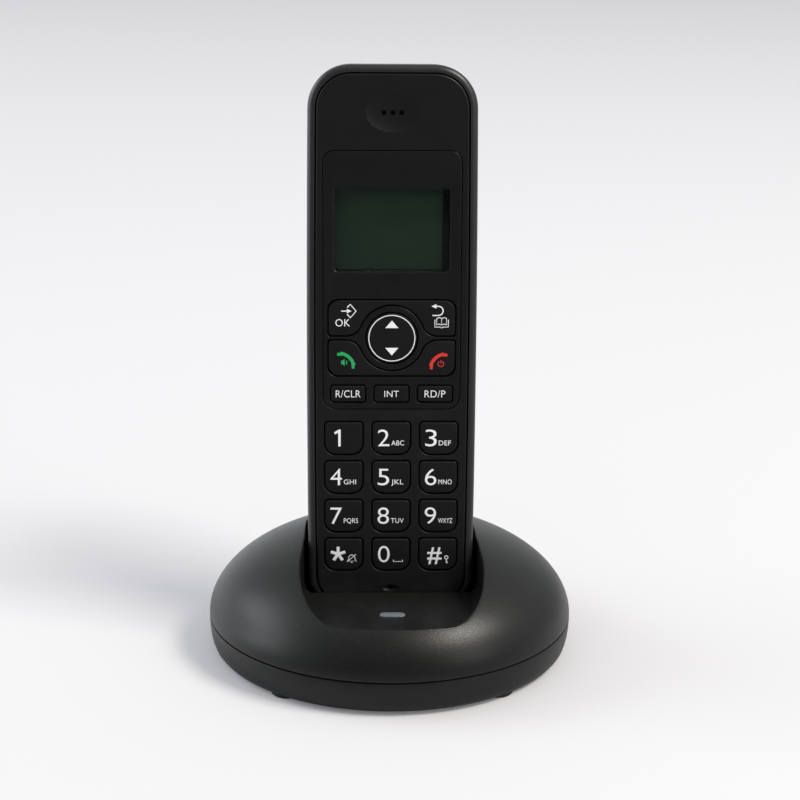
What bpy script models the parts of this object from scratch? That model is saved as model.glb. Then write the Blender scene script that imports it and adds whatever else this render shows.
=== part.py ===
"""Cordless phone standing in its round charging base.

The world origin is the centre of the base on the table, +Z up, with the keys facing -Y.
Everything that follows the leaning handset is parented to the empty handset_frame: its Z runs
up the handset, its Y runs back through the handset from the face, and X stays level.
"""

import math

import bmesh
import bpy

MM = 0.001

# Overall sizes
BASE_DIAMETER = 105.6 * MM
SEAM_HEIGHT = 10.3 * MM
DOME_RISE = 26.0 * MM
HANDSET_WIDTH = 48.0 * MM
HANDSET_THICKNESS = 26.0 * MM
HANDSET_SWELL = 0.35 * MM
LEAN = math.radians(6.0)

# Clearances between pieces
GAP = 0.3 * MM
GROOVE = 0.35 * MM
KEY_GAP = 0.4 * MM
SEAM_GAP = 0.4 * MM
POCKET_CLEARANCE = 0.7 * MM

# Base: walls, feet, posts and screws
WALL = 2.2 * MM
COVER_FLOOR = 2.2 * MM
BASE_RADIUS = BASE_DIAMETER / 2
BASE_STEPS = 48
FOOT_REACH = 1.0 * MM
FOOT_RADIUS = 4.5 * MM
FOOT_THICKNESS = 1.5 * MM
FOOT_RING = BASE_RADIUS - 6.6 * MM
FOOT_ANGLE = math.radians(51.0)
UPPER_EDGE = SEAM_HEIGHT + SEAM_GAP / 2
LOWER_EDGE = SEAM_HEIGHT - SEAM_GAP / 2
INNER_RADIUS = BASE_RADIUS - WALL
LIP_RADIUS = INNER_RADIUS - 0.9 * MM
LIP_THICKNESS = 1.2 * MM
LIP_RISE = 1.4 * MM
LIP_FOOT = 1.8 * MM
SCREW_SHANK = 1.15 * MM
SCREW_HEAD = 2.6 * MM
SCREW_HEAD_HEIGHT = 1.4 * MM
SCREW_RECESS = 0.8 * MM
BASE_SCREW_LENGTH = 14.0 * MM
BOSS_RADIUS = 3.7 * MM
BOSS_RING = BASE_RADIUS - 11.2 * MM
BOSS_ANGLE = math.radians(24.0)
SCREW_SEAT = FOOT_REACH + 2.4 * MM
BOARD_THICKNESS = 1.2 * MM
BOARD_HEIGHT = FOOT_REACH + COVER_FLOOR + 1.4 * MM
BOARD_POST = 2.5 * MM

# Cradle: the handset's foot sits in a pocket at the back of an open scoop
SCOOP_DEPTH = 6.0 * MM
POCKET_FLOOR = -0.4 * MM
POCKET_SPACE = 1.88 * MM
HANDSET_DROP = HANDSET_THICKNESS * math.sin(LEAN)
HANDSET_FOOT_HEIGHT = BOARD_HEIGHT + BOARD_THICKNESS + POCKET_SPACE + WALL - POCKET_FLOOR + HANDSET_DROP
HANDSET_SETBACK = -9.84 * MM
SCOOP_WIDEST = -9.0 * MM
SCOOP_SIDE = 1.8 * MM
SCOOP_FRONT = BASE_RADIUS - 5.0 * MM + HANDSET_SETBACK + SCOOP_WIDEST
SCOOP_SQUARENESS = 2.75
SCOOP_STEPS = 20
SKY = 2 * DOME_RISE
LENS_LENGTH = 7.2 * MM
LENS_WIDTH = 3.6 * MM
LENS_DEPTH = 4.5 * MM
LENS_PROUD = 0.3 * MM
LENS_Y = SCOOP_WIDEST - 13.4 * MM

# Rear niche with the two sockets and the page button between them
SOCKET_X = 12.0 * MM
SOCKET_WIDTH = 12.0 * MM
SOCKET_HEIGHT = 9.0 * MM
SOCKET_DEPTH = 13.8 * MM
SOCKET_BORE = 9.0 * MM
LINE_BORE_WIDTH = 9.8 * MM
LINE_BORE_HEIGHT = 6.6 * MM
POWER_BORE_RADIUS = 3.2 * MM
PAGE_RADIUS = 3.0 * MM
PAGE_PROUD = 1.2 * MM
SOCKET_EDGE = SOCKET_X + SOCKET_WIDTH / 2
NICHE_LIFT = 2.4 * MM
NICHE_FLOOR = SEAM_HEIGHT + NICHE_LIFT
NICHE_HEIGHT = SOCKET_HEIGHT + 1.4 * MM
NICHE_HALF_WIDTH = SOCKET_EDGE + 3.1 * MM
NICHE_RING = BASE_RADIUS * math.sqrt(1 - ((NICHE_LIFT + NICHE_HEIGHT) / DOME_RISE) ** 2)
NICHE_WALL = math.sqrt(NICHE_RING**2 - SOCKET_EDGE**2) + 0.7 * MM
BOARD_BACK = NICHE_WALL - 5.0 * MM
BOARD_HALF_WIDTH = math.sqrt((LIP_RADIUS - LIP_THICKNESS - MM) ** 2 - BOARD_BACK**2)
BOARD_FRONT = -BOARD_BACK + 5.8 * MM

# Handset shells
TOP_RADIUS = 12.0 * MM
BOTTOM_RADIUS = 11.0 * MM
END_WIDTH = HANDSET_WIDTH - 2 * HANDSET_SWELL
RIM_SETBACK = 0.2 * MM
SHELL_WALL = 2.1 * MM
RIM_ROUNDING = SHELL_WALL - GAP
BACK_WALL = 2.3 * MM
BACK_ROUNDING = 7.0 * MM
FACE_INSET = SHELL_WALL + GROOVE
FACE_THICKNESS = 2.2 * MM
SKIRT_DEPTH = 6.0 * MM
SKIRT_WALL = 1.2 * MM
POST_RADIUS = 3.0 * MM
POST_X = HANDSET_WIDTH / 2 - 10.0 * MM
POST_HEIGHT = 7.5 * MM
POST_SPLIT = HANDSET_THICKNESS - 6.0 * MM
HANDSET_SCREW_LENGTH = 11.0 * MM
HANDSET_SCREW_HEAD = 2.5 * MM
SCREW_WELL = 2.4 * MM

# Layers behind the face, front to back
FASCIA_THICKNESS = 1.2 * MM
FASCIA_LEDGE = 0.7 * MM
KEY_PROUD = 0.1 * MM
NAV_PROUD = 0.1 * MM
BAR_PROUD = 0.1 * MM
KEY_TRAVEL = 0.8 * MM
FLANGE_THICKNESS = 0.8 * MM
FLANGE_FRONT = FACE_THICKNESS + GAP
FLANGE_BACK = FLANGE_FRONT + FLANGE_THICKNESS
MAT_FRONT = FLANGE_BACK + KEY_TRAVEL + GAP
MAT_THICKNESS = 1.2 * MM
MAT_CORNER = 2.0 * MM
PHONE_BOARD_FRONT = MAT_FRONT + MAT_THICKNESS + GAP
WINDOW_THICKNESS = 1.0 * MM
PANEL_THICKNESS = 1.5 * MM

# Face, from the handset's foot upwards and from its middle outwards
FASCIA_WIDTH = HANDSET_WIDTH - 2 * 4.7 * MM
MIC_HEIGHT = 7.1 * MM
KEY_WEB_X = 2.54 * MM
KEY_WEB_Z = 1.99 * MM
KEY_WIDTH = (FASCIA_WIDTH - 0.6 * MM - 2 * KEY_WEB_X) / 3
KEY_HEIGHT = 9.4 * MM
KEY_PITCH_X = KEY_WIDTH + KEY_WEB_X
KEY_PITCH_Z = KEY_HEIGHT + KEY_WEB_Z
KEY_FOOT = 12.75 * MM
KEY_TOP_CORNER = 1.2 * MM
KEY_BOTTOM_CORNER = 3.0 * MM
KEY_BOW = 0.25 * MM
KEY_FLANGE = 0.7 * MM
KEY_FIRST_ROW = KEY_FOOT + 3 * KEY_PITCH_Z + KEY_HEIGHT / 2
FASCIA_BOTTOM = KEY_FIRST_ROW + KEY_HEIGHT / 2 + 3.58 * MM
FUNCTION_WEB = 2.33 * MM
FUNCTION_WIDTH = (FASCIA_WIDTH - 4.0 * MM - 2 * FUNCTION_WEB) / 3
FUNCTION_PITCH = FUNCTION_WIDTH + FUNCTION_WEB
FUNCTION_HEIGHT = 4.9 * MM
FUNCTION_CORNER = 0.9 * MM
FUNCTION_CENTRE = FASCIA_BOTTOM + 1.9 * MM + FUNCTION_HEIGHT / 2
BAR_WIDTH = FASCIA_WIDTH - 2.6 * MM
BAR_WAIST = 1.1 * MM
BAR_CORNER = 3.0 * MM
BAR_TOE = 4.5 * MM
BAR_TIP = 0.9 * MM
BAR_FLANGE = 0.5 * MM
NAV_RADIUS = 7.3 * MM
NAV_PIVOT_DEPTH = 1.5 * MM
ARCH_RADIUS = NAV_RADIUS + 2.0 * MM
BAR_REACH = ARCH_RADIUS + 1.6 * MM
NAV_HEIGHT = FUNCTION_CENTRE + FUNCTION_HEIGHT / 2 + 2.6 * MM + BAR_REACH
WINDOW_WIDTH = FASCIA_WIDTH - 6.4 * MM
WINDOW_HEIGHT = 23.3 * MM
WINDOW_BOTTOM = NAV_HEIGHT + BAR_REACH + 8.0 * MM
WINDOW_TOP = WINDOW_BOTTOM + WINDOW_HEIGHT
WINDOW_MARGIN = 1.4 * MM
FASCIA_TOP = WINDOW_TOP + 10.2 * MM
FASCIA_TOP_RADIUS = 3.0 * MM
FASCIA_BOTTOM_RADIUS = 3.8 * MM
FASCIA_GROOVE = 0.25 * MM

# Earpiece, ringer and charge contacts
SPEAKER_RADIUS = 9.0 * MM
SPEAKER_THICKNESS = 4.5 * MM
EAR_HEIGHT = FASCIA_TOP + SPEAKER_RADIUS + 1.5 * MM
HANDSET_LENGTH = EAR_HEIGHT + SPEAKER_RADIUS + FACE_INSET + SKIRT_WALL + 0.45 * MM
EAR_WIDTH = 14.5 * MM
EAR_LENGTH = 9.9 * MM
EAR_DEPTH = 1.0 * MM
EAR_HOLE = 1.4 * MM
EAR_PITCH = 2.45 * MM
RINGER_RADIUS = 10.0 * MM
RINGER_HEIGHT = HANDSET_LENGTH - RINGER_RADIUS - 8.0 * MM
RINGER_THICKNESS = 5.0 * MM
RINGER_SLOT = 1.0 * MM
RINGER_SLOT_LENGTH = 10.0 * MM
RINGER_PITCH = 2.4 * MM
MIC_RADIUS = 2.8 * MM
MIC_THICKNESS = 2.2 * MM
CONTACT_X = 8.0 * MM
CONTACT_DEPTH = HANDSET_THICKNESS / 2
CONTACT_RECESS = 1.0 * MM
CONTACT_WIDTH = 4.4 * MM
CONTACT_LENGTH = 5.2 * MM
CONTACT_THICKNESS = 0.5 * MM
PIN_RADIUS = 1.8 * MM
PIN_FLANGE = 0.7 * MM
PIN_FLANGE_THICKNESS = 1.0 * MM

# Battery bay
CELL_RADIUS = 5.25 * MM
CELL_LENGTH = 44.5 * MM
CELL_NUB = 0.8 * MM
CELL_NUB_RADIUS = 1.9 * MM
CELL_X = CELL_RADIUS + GAP
SPRING_LENGTH = 5.0 * MM
SPRING_WIRE = 0.3 * MM
SPRING_TURNS = 3
PLATE_THICKNESS = 0.4 * MM
PLATE_HALF = 3.5 * MM
BAY_FOOT = 50.5 * MM
BAY_LENGTH = CELL_LENGTH + CELL_NUB + SPRING_LENGTH + PLATE_THICKNESS + 4 * GAP
BAY_CENTRE = BAY_FOOT + BAY_LENGTH / 2
BAY_WIDTH = 2 * (CELL_X + CELL_RADIUS + GAP)
BAY_WALL = 1.2 * MM
BAY_FLOOR = 1.0 * MM
BAY_BACK = HANDSET_THICKNESS - BACK_WALL - GAP
BAY_FRONT = BAY_BACK - 2 * CELL_RADIUS - GAP - BAY_FLOOR
DOOR_WIDTH = BAY_WIDTH + 9.4 * MM
DOOR_LENGTH = BAY_LENGTH + 8.0 * MM
DOOR_THICKNESS = 1.2 * MM
DOOR_TRAVEL = 7.0 * MM
DOOR_CORNER = 3.0 * MM
GRIP_WIDTH = 12.0 * MM
GRIP_HEIGHT = 0.8 * MM
GRIP_DEPTH = 0.4 * MM
GRIP_PITCH = 1.8 * MM

COLOURS = {
    "casing_black": ((0.018, 0.019, 0.020), 0.45, 0.0),
    "face_black": ((0.014, 0.015, 0.016), 0.42, 0.0),
    "fascia_black": ((0.013, 0.013, 0.014), 0.38, 0.0),
    "key_black": ((0.016, 0.016, 0.018), 0.5, 0.0),
    "display_glass": ((0.03, 0.05, 0.04), 0.05, 0.0),
    "display_green": ((0.09, 0.15, 0.11), 0.3, 0.0),
    "lens_grey": ((0.25, 0.32, 0.38), 0.2, 0.0),
    "rubber_grey": ((0.06, 0.06, 0.065), 0.8, 0.0),
    "board_green": ((0.01, 0.12, 0.05), 0.5, 0.0),
    "nickel": ((0.62, 0.60, 0.56), 0.25, 1.0),
    "steel": ((0.50, 0.50, 0.50), 0.35, 1.0),
    "cell_wrap": ((0.02, 0.18, 0.32), 0.35, 0.0),
    "socket_black": ((0.02, 0.02, 0.02), 0.6, 0.0),
}


def clear_scene():
    for obj in list(bpy.data.objects):
        bpy.data.objects.remove(obj, do_unlink=True)


def new_collection(name):
    group = bpy.data.collections.new(name)
    bpy.context.scene.collection.children.link(group)
    return group


def new_material(name, colour, roughness, metallic):
    material = bpy.data.materials.new(name)
    material.use_nodes = True
    shader = material.node_tree.nodes["Principled BSDF"]
    shader.inputs["Base Color"].default_value = (*colour, 1.0)
    shader.inputs["Roughness"].default_value = roughness
    shader.inputs["Metallic"].default_value = metallic
    return material


clear_scene()
PARTS = new_collection("cordless_phone")
CUTTERS = new_collection("cutters")
MATERIALS = {name: new_material(name, *values) for name, values in COLOURS.items()}

handset_frame = bpy.data.objects.new("handset_frame", None)
handset_frame.location = (0.0, HANDSET_SETBACK, HANDSET_FOOT_HEIGHT)
handset_frame.rotation_euler = (-LEAN, 0.0, 0.0)
PARTS.objects.link(handset_frame)


# Outlines ---------------------------------------------------------------------------------


def arc(centre, radius, start, end, segments):
    """Points along an arc, both ends included, angles in degrees."""
    points = []
    for step in range(segments + 1):
        angle = math.radians(start + (end - start) * step / segments)
        points.append((centre[0] + radius * math.cos(angle), centre[1] + radius * math.sin(angle)))
    return points


def rounded_box(width, low, high, low_radius, high_radius, segments=4, centre=0.0):
    """Anticlockwise outline with one radius at its lower corners and one at its upper corners."""
    left = centre - width / 2
    right = centre + width / 2
    points = arc((right - low_radius, low + low_radius), low_radius, -90, 0, segments)
    points += arc((right - high_radius, high - high_radius), high_radius, 0, 90, segments)
    points += arc((left + high_radius, high - high_radius), high_radius, 90, 180, segments)
    points += arc((left + low_radius, low + low_radius), low_radius, 180, 270, segments)
    return points


def handset_outline(inset, segments=6, side_steps=4):
    """Front view of the handset moved inwards by inset: round ends and gently swelling sides."""
    low = inset
    high = HANDSET_LENGTH - inset
    half_end = END_WIDTH / 2 - inset
    low_radius = BOTTOM_RADIUS - inset
    high_radius = TOP_RADIUS - inset
    side = []
    for step in range(1, side_steps):
        share = step / side_steps
        level = low + low_radius + (high - high_radius - low - low_radius) * share
        side.append((half_end + HANDSET_SWELL * (1 - (2 * share - 1) ** 2), level))
    points = arc((half_end - low_radius, low + low_radius), low_radius, -90, 0, segments)
    points += side
    points += arc((half_end - high_radius, high - high_radius), high_radius, 0, 90, segments)
    points += [(-x, z) for x, z in reversed(points)]
    return points


def number_key_outline(column, row, grow):
    """Key with small upper corners, large lower corners and a slightly bowed lower edge."""
    centre = (column - 1) * KEY_PITCH_X
    middle = KEY_FIRST_ROW - row * KEY_PITCH_Z
    low = middle - KEY_HEIGHT / 2 - grow
    high = middle + KEY_HEIGHT / 2 + grow
    points = rounded_box(
        KEY_WIDTH + 2 * grow, low, high, KEY_BOTTOM_CORNER + grow, KEY_TOP_CORNER + grow, 2, centre
    )
    return points + [(centre, low - KEY_BOW)]


def function_key_outline(column, grow):
    low = FUNCTION_CENTRE - FUNCTION_HEIGHT / 2 - grow
    high = FUNCTION_CENTRE + FUNCTION_HEIGHT / 2 + grow
    corner = FUNCTION_CORNER + grow
    width = FUNCTION_WIDTH + 2 * grow
    return rounded_box(width, low, high, corner, corner, 3, (column - 1) * FUNCTION_PITCH)


def bar_outline(grow, side):
    """Bar key that arches over (side 1) or under (side -1) the round key."""
    half = BAR_WIDTH / 2 + grow
    top = BAR_REACH + grow
    foot = BAR_WAIST - grow
    arch = ARCH_RADIUS - grow
    toe = BAR_TOE + grow
    corner = BAR_CORNER + grow
    tip = BAR_TIP + grow
    toe_z = foot + toe
    toe_x = math.sqrt((arch + toe) ** 2 - toe_z**2)
    turn = math.degrees(math.atan2(toe_z, toe_x))
    points = arc((0.0, 0.0), arch, 90, turn, 7)
    points += arc((toe_x, toe_z), toe, 180 + turn, 270, 4)[1:]
    points += arc((half - tip, foot + tip), tip, -90, 0, 2)
    points += arc((half - corner, top - corner), corner, 0, 90, 4)
    points += [(-x, z) for x, z in reversed(points) if x > 0.1 * MM]
    return [(x, NAV_HEIGHT + side * z) for x, z in points]


def fascia_outline(inset):
    return rounded_box(
        FASCIA_WIDTH - 2 * inset,
        FASCIA_BOTTOM + inset,
        FASCIA_TOP - inset,
        FASCIA_BOTTOM_RADIUS - inset,
        FASCIA_TOP_RADIUS - inset,
    )


def scoop_outline(grow):
    """Plan of the open scoop: a squarish oval in front, drawn in to the handset's width behind."""
    half = HANDSET_WIDTH / 2 + SCOOP_SIDE + grow
    front = SCOOP_FRONT + grow
    power = 2 / SCOOP_SQUARENESS
    points = []
    for step in range(SCOOP_STEPS + 1):
        angle = math.pi * (1 + step / SCOOP_STEPS)
        sideways = abs(math.cos(angle)) ** power * math.copysign(1, math.cos(angle))
        forward = abs(math.sin(angle)) ** power
        points.append((half * sideways, SCOOP_WIDEST - front * forward))
    back_half = HANDSET_WIDTH / 2 + grow
    back = 0.55 * HANDSET_THICKNESS
    return points + [(back_half, back), (-back_half, back)]


def pocket_outline(grow):
    clear = POCKET_CLEARANCE + grow
    half = HANDSET_WIDTH / 2 + clear
    return rounded_box(2 * half, -clear, HANDSET_THICKNESS + clear, 1.5 * MM + clear, 6.0 * MM + clear)


# Solids -----------------------------------------------------------------------------------


def prism(outline, low, high, flat="XZ"):
    """Solid with the outline in the XZ plane run along Y, or in the XY plane run along Z."""

    def place(a, b, level):
        return (a, level, b) if flat == "XZ" else (a, b, level)

    shape = bmesh.new()
    face = shape.faces.new([shape.verts.new(place(a, b, low)) for a, b in outline])
    return extruded(shape, face, place(0.0, 0.0, high - low))


def extruded(shape, face, offset):
    """Draws the face out of the shape by offset and closes the shape behind it."""
    grown = bmesh.ops.extrude_face_region(shape, geom=[face])["geom"]
    moved = [item for item in grown if isinstance(item, bmesh.types.BMVert)]
    bmesh.ops.translate(shape, vec=offset, verts=moved)
    if any(len(edge.link_faces) > 2 for edge in face.edges):
        shape.faces.remove(face)
    bmesh.ops.remove_doubles(shape, verts=shape.verts, dist=1e-6)
    bmesh.ops.recalc_face_normals(shape, faces=shape.faces)
    return shape


def box(x, y, z):
    """Box from three (low, high) pairs."""
    return prism([(x[0], y[0]), (x[1], y[0]), (x[1], y[1]), (x[0], y[1])], z[0], z[1], "XY")


def cylinder(radius, low, high, centre, flat="XZ", segments=16):
    return prism(arc(centre, radius, 0, 360 - 360 / segments, segments - 1), low, high, flat)


def faces_at(shape, axis, level):
    return [f for f in shape.faces if all(abs(v.co[axis] - level) < 1e-6 for v in f.verts)]


def round_rim(shape, axis, level, width, segments):
    """Bevels the rim of the flat face that lies at this level of the axis."""
    rim = [e for face in faces_at(shape, axis, level) for e in face.edges]
    bmesh.ops.bevel(shape, geom=rim, offset=width, segments=segments, profile=0.5, affect="EDGES")
    return shape


def stepped_key(outline, flange, front):
    """Key cap with a flange behind the face that keeps it in its opening."""
    shape = prism(outline, FLANGE_FRONT, FLANGE_BACK)
    face = faces_at(shape, 1, FLANGE_FRONT)[0]
    bmesh.ops.inset_region(shape, faces=[face], thickness=flange, use_even_offset=True)
    extruded(shape, face, (0.0, front - FLANGE_FRONT, 0.0))
    return round_rim(shape, 1, front, 0.35 * MM, 1)


def merged(shapes):
    whole = bmesh.new()
    for shape in shapes:
        mesh = bpy.data.meshes.new("piece")
        shape.to_mesh(mesh)
        shape.free()
        whole.from_mesh(mesh)
        bpy.data.meshes.remove(mesh)
    return whole


def shifted(shape, offset):
    bmesh.ops.translate(shape, vec=offset, verts=shape.verts)
    return shape


def add_mesh(name, data, group, parent):
    obj = bpy.data.objects.new(name, data)
    obj.parent = parent
    group.objects.link(obj)
    return obj


def add_part(name, shape, material, parent=None, pivot=(0.0, 0.0, 0.0)):
    """Named piece whose origin is at pivot. The shape is given in its parent's coordinates."""
    shifted(shape, [-value for value in pivot])
    mesh = bpy.data.meshes.new(name)
    shape.to_mesh(mesh)
    shape.free()
    mesh.materials.append(MATERIALS[material])
    mesh.shade_smooth()
    mesh.set_sharp_from_angle(angle=math.radians(35))
    obj = add_mesh(name, mesh, PARTS, parent)
    obj.location = pivot
    return obj


def add_cutter(name, shapes, parent=None):
    mesh = bpy.data.meshes.new(name)
    whole = merged(shapes)
    whole.to_mesh(mesh)
    whole.free()
    obj = add_mesh(name, mesh, CUTTERS, parent)
    hide_cutter(obj)
    return obj


def hide_cutter(obj):
    obj.hide_render = True
    obj.display_type = "WIRE"


def boolean(target, operation, tool):
    modifier = target.modifiers.new(tool.name, "BOOLEAN")
    modifier.operation = operation
    modifier.solver = "EXACT"
    modifier.object = tool


def turned(name, profile, group, material=None, steps=BASE_STEPS):
    """Turned solid: the profile is (radius, height) pairs that run down its outer side."""
    mesh = bpy.data.meshes.new(name)
    points = [(radius, 0.0, height) for radius, height in profile]
    mesh.from_pydata(points, [(i, i + 1) for i in range(len(points) - 1)], [])
    obj = add_mesh(name, mesh, group, None)
    screw = obj.modifiers.new("turn", "SCREW")
    screw.axis = "Z"
    screw.steps = steps
    screw.render_steps = steps
    screw.use_merge_vertices = True
    screw.merge_threshold = 0.00001
    screw.use_smooth_shade = True
    if material:
        mesh.materials.append(MATERIALS[material])
    return obj


def dome_profile(radius, base, rise, steps):
    """Quarter ellipse from the top of the dome down to its edge."""
    quarter = [math.pi / 2 * (1 - step / steps) for step in range(steps + 1)]
    return [(radius * math.cos(a) if a < 1.57 else 0.0, base + rise * math.sin(a)) for a in quarter]


# Base -------------------------------------------------------------------------------------

CORNER_NAMES = ["rear_right", "rear_left", "front_left", "front_right"]


def four_places(ring, angle):
    """Four places on a ring, mirrored about both axes, in the order of CORNER_NAMES."""
    x = ring * math.cos(angle)
    y = ring * math.sin(angle)
    return [(x, y), (-x, y), (-x, -y), (x, -y)]


BOSS_PLACES = four_places(BOSS_RING, BOSS_ANGLE)
FOOT_PLACES = four_places(FOOT_RING, FOOT_ANGLE)
SOCKET_FOOT = NICHE_FLOOR + 2 * GAP
PAGE_CENTRE = (0.0, NICHE_FLOOR + NICHE_HEIGHT / 2)


def across(centre, half):
    return (centre - half, centre + half)


def socket_hole(side):
    width = across(side * SOCKET_X, SOCKET_WIDTH / 2 + GAP)
    height = (SOCKET_FOOT - GAP, SOCKET_FOOT + SOCKET_HEIGHT + GAP)
    return box(width, across(NICHE_WALL, 2 * WALL), height)


def build_upper_cover():
    """Dome with a scoop in front, a pocket for the handset and a niche for the sockets behind."""
    plug = INNER_RADIUS - GROOVE
    outer = dome_profile(BASE_RADIUS, UPPER_EDGE, DOME_RISE, 10)
    outer += [(plug, UPPER_EDGE), (plug, BOARD_HEIGHT), (0.0, BOARD_HEIGHT)]
    cover = turned("base_upper_cover", outer, PARTS, "casing_black")
    inner = dome_profile(INNER_RADIUS, UPPER_EDGE, DOME_RISE - WALL, 6)
    inner += [(INNER_RADIUS, FOOT_REACH), (0.0, FOOT_REACH)]
    hollow = turned("dome_hollow", inner, CUTTERS, steps=32)
    hide_cutter(hollow)
    scoop_block = prism(scoop_outline(WALL), SCOOP_DEPTH - WALL, SKY, "XY")
    pocket_block = prism(pocket_outline(WALL), POCKET_FLOOR - WALL, SKY, "XY")
    niche_x = NICHE_HALF_WIDTH + WALL
    niche_z = (UPPER_EDGE, NICHE_FLOOR + NICHE_HEIGHT + WALL)
    kept = [
        add_cutter("scoop_walls", [scoop_block], handset_frame),
        add_cutter("pocket_walls", [pocket_block], handset_frame),
        add_cutter("boss_walls", [cylinder(BOSS_RADIUS, UPPER_EDGE, SKY, at, "XY") for at in BOSS_PLACES]),
        add_cutter("niche_walls", [box((-niche_x, niche_x), (NICHE_WALL - WALL, BASE_RADIUS), niche_z)]),
    ]
    for walls in kept:
        boolean(hollow, "DIFFERENCE", walls)
    scoop = prism(scoop_outline(0.0), SCOOP_DEPTH, SKY, "XY")
    pocket = prism(pocket_outline(0.0), POCKET_FLOOR, SKY, "XY")
    niche_z = (NICHE_FLOOR, NICHE_FLOOR + NICHE_HEIGHT)
    niche = box((-NICHE_HALF_WIDTH, NICHE_HALF_WIDTH), (NICHE_WALL, 2 * BASE_RADIUS), niche_z)
    pilot_top = SCREW_SEAT + BASE_SCREW_LENGTH + MM
    pilots = [cylinder(SCREW_SHANK + GAP, FOOT_REACH, pilot_top, at, "XY", 8) for at in BOSS_PLACES]
    page = cylinder(PAGE_RADIUS + GAP, NICHE_WALL - 2 * WALL, NICHE_WALL + WALL, PAGE_CENTRE)
    lens = stadium(LENS_LENGTH + 2 * GAP, LENS_WIDTH + 2 * GAP, (0.0, LENS_Y))
    fittings = [prism(lens, 0.0, 2 * SCOOP_DEPTH, "XY")]
    for side in (-1, 1):
        at = (side * CONTACT_X, CONTACT_DEPTH)
        fittings.append(cylinder(PIN_RADIUS + GAP, POCKET_FLOOR - 2 * WALL, WALL, at, "XY", 16))
    cuts = [
        hollow,
        add_cutter("scoop", [scoop], handset_frame),
        add_cutter("pocket", [pocket], handset_frame),
        add_cutter("niche", [niche]),
        add_cutter("cover_holes", pilots + [page, socket_hole(-1), socket_hole(1)]),
        add_cutter("cradle_holes", fittings, handset_frame),
    ]
    for cut in cuts:
        boolean(cover, "DIFFERENCE", cut)
    return cover


def stadium(length, width, centre, segments=6):
    reach = (length - width) / 2
    points = arc((centre[0] + reach, centre[1]), width / 2, -90, 90, segments)
    return points + arc((centre[0] - reach, centre[1]), width / 2, 90, 270, segments)


def build_lower_cover():
    """Dish that closes the base from below, with a lip that stands inside the upper cover."""
    floor = FOOT_REACH + COVER_FLOOR
    lip = LIP_RADIUS - LIP_THICKNESS
    profile = [
        (0.0, floor),
        (lip - LIP_FOOT, floor),
        (lip, floor + LIP_FOOT),
        (lip, LOWER_EDGE + LIP_RISE),
        (LIP_RADIUS, LOWER_EDGE + LIP_RISE),
        (LIP_RADIUS, LOWER_EDGE),
        (BASE_RADIUS, LOWER_EDGE),
        (BASE_RADIUS - 0.4 * MM, 0.5 * LOWER_EDGE),
        (BASE_RADIUS - 1.2 * MM, 0.22 * LOWER_EDGE),
        (BASE_RADIUS - 2.8 * MM, FOOT_REACH),
        (0.0, FOOT_REACH),
    ]
    cover = turned("base_lower_cover", profile, PARTS, "casing_black")
    posts = [cylinder(BOSS_RADIUS, floor - MM, LOWER_EDGE, at, "XY") for at in BOSS_PLACES]
    for x in (-0.8 * BOARD_HALF_WIDTH, 0.8 * BOARD_HALF_WIDTH):
        for y in (0.85 * BOARD_FRONT, 0.6 * BOARD_BACK):
            posts.append(cylinder(BOARD_POST, floor - MM, BOARD_HEIGHT - GAP, (x, y), "XY", 8))
    boolean(cover, "UNION", add_cutter("lower_posts", posts))
    holes = [cylinder(SCREW_SHANK + 2 * GAP, 0.0, UPPER_EDGE, at, "XY", 8) for at in BOSS_PLACES]
    boolean(cover, "DIFFERENCE", add_cutter("screw_holes", holes))
    seats = [cylinder(SCREW_HEAD + 1.5 * GAP, 0.0, SCREW_SEAT, at, "XY", 12) for at in BOSS_PLACES]
    top = FOOT_THICKNESS + GAP
    seats += [cylinder(FOOT_RADIUS + GAP, -MM, top, at, "XY", 16) for at in FOOT_PLACES]
    reach = NICHE_HALF_WIDTH + WALL + 2 * GAP
    behind = (NICHE_WALL - WALL - 2 * GAP, INNER_RADIUS)
    seats.append(box((-reach, reach), behind, (LOWER_EDGE + 0.02 * MM, UPPER_EDGE + 2 * LIP_RISE)))
    boolean(cover, "DIFFERENCE", add_cutter("screw_seats", seats))


def build_feet_and_screws():
    for name, (x, y) in zip(CORNER_NAMES, FOOT_PLACES):
        foot = cylinder(FOOT_RADIUS, 0.0, FOOT_THICKNESS, (x, y), "XY", 20)
        round_rim(foot, 2, 0.0, 0.3 * MM, 1)
        add_part("foot_" + name, foot, "rubber_grey")
    for name, (x, y) in zip(CORNER_NAMES, BOSS_PLACES):
        screw = screw_shape((x, y), "XY", SCREW_SEAT - GAP, BASE_SCREW_LENGTH, SCREW_HEAD)
        add_part("base_screw_" + name, screw, "steel")


def screw_shape(at, flat, seat, length, head):
    """Screw with a socket in its head: the head's flat side is at seat, and the shank runs on by length."""
    axis = 2 if flat == "XY" else 1
    step = math.copysign(SCREW_HEAD_HEIGHT, length)
    shape = cylinder(head, seat - step, seat, at, flat, 12)
    under = faces_at(shape, axis, seat)[0]
    bmesh.ops.inset_region(shape, faces=[under], thickness=head - SCREW_SHANK, use_even_offset=True)
    raise_face(shape, under, axis, length)
    outside = faces_at(shape, axis, seat - step)[0]
    bmesh.ops.inset_region(shape, faces=[outside], thickness=head - SCREW_SHANK, use_even_offset=True)
    raise_face(shape, outside, axis, math.copysign(SCREW_RECESS, length))
    return shape


def raise_face(shape, face, axis, distance):
    offset = [0.0, 0.0, 0.0]
    offset[axis] = distance
    extruded(shape, face, offset)


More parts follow.
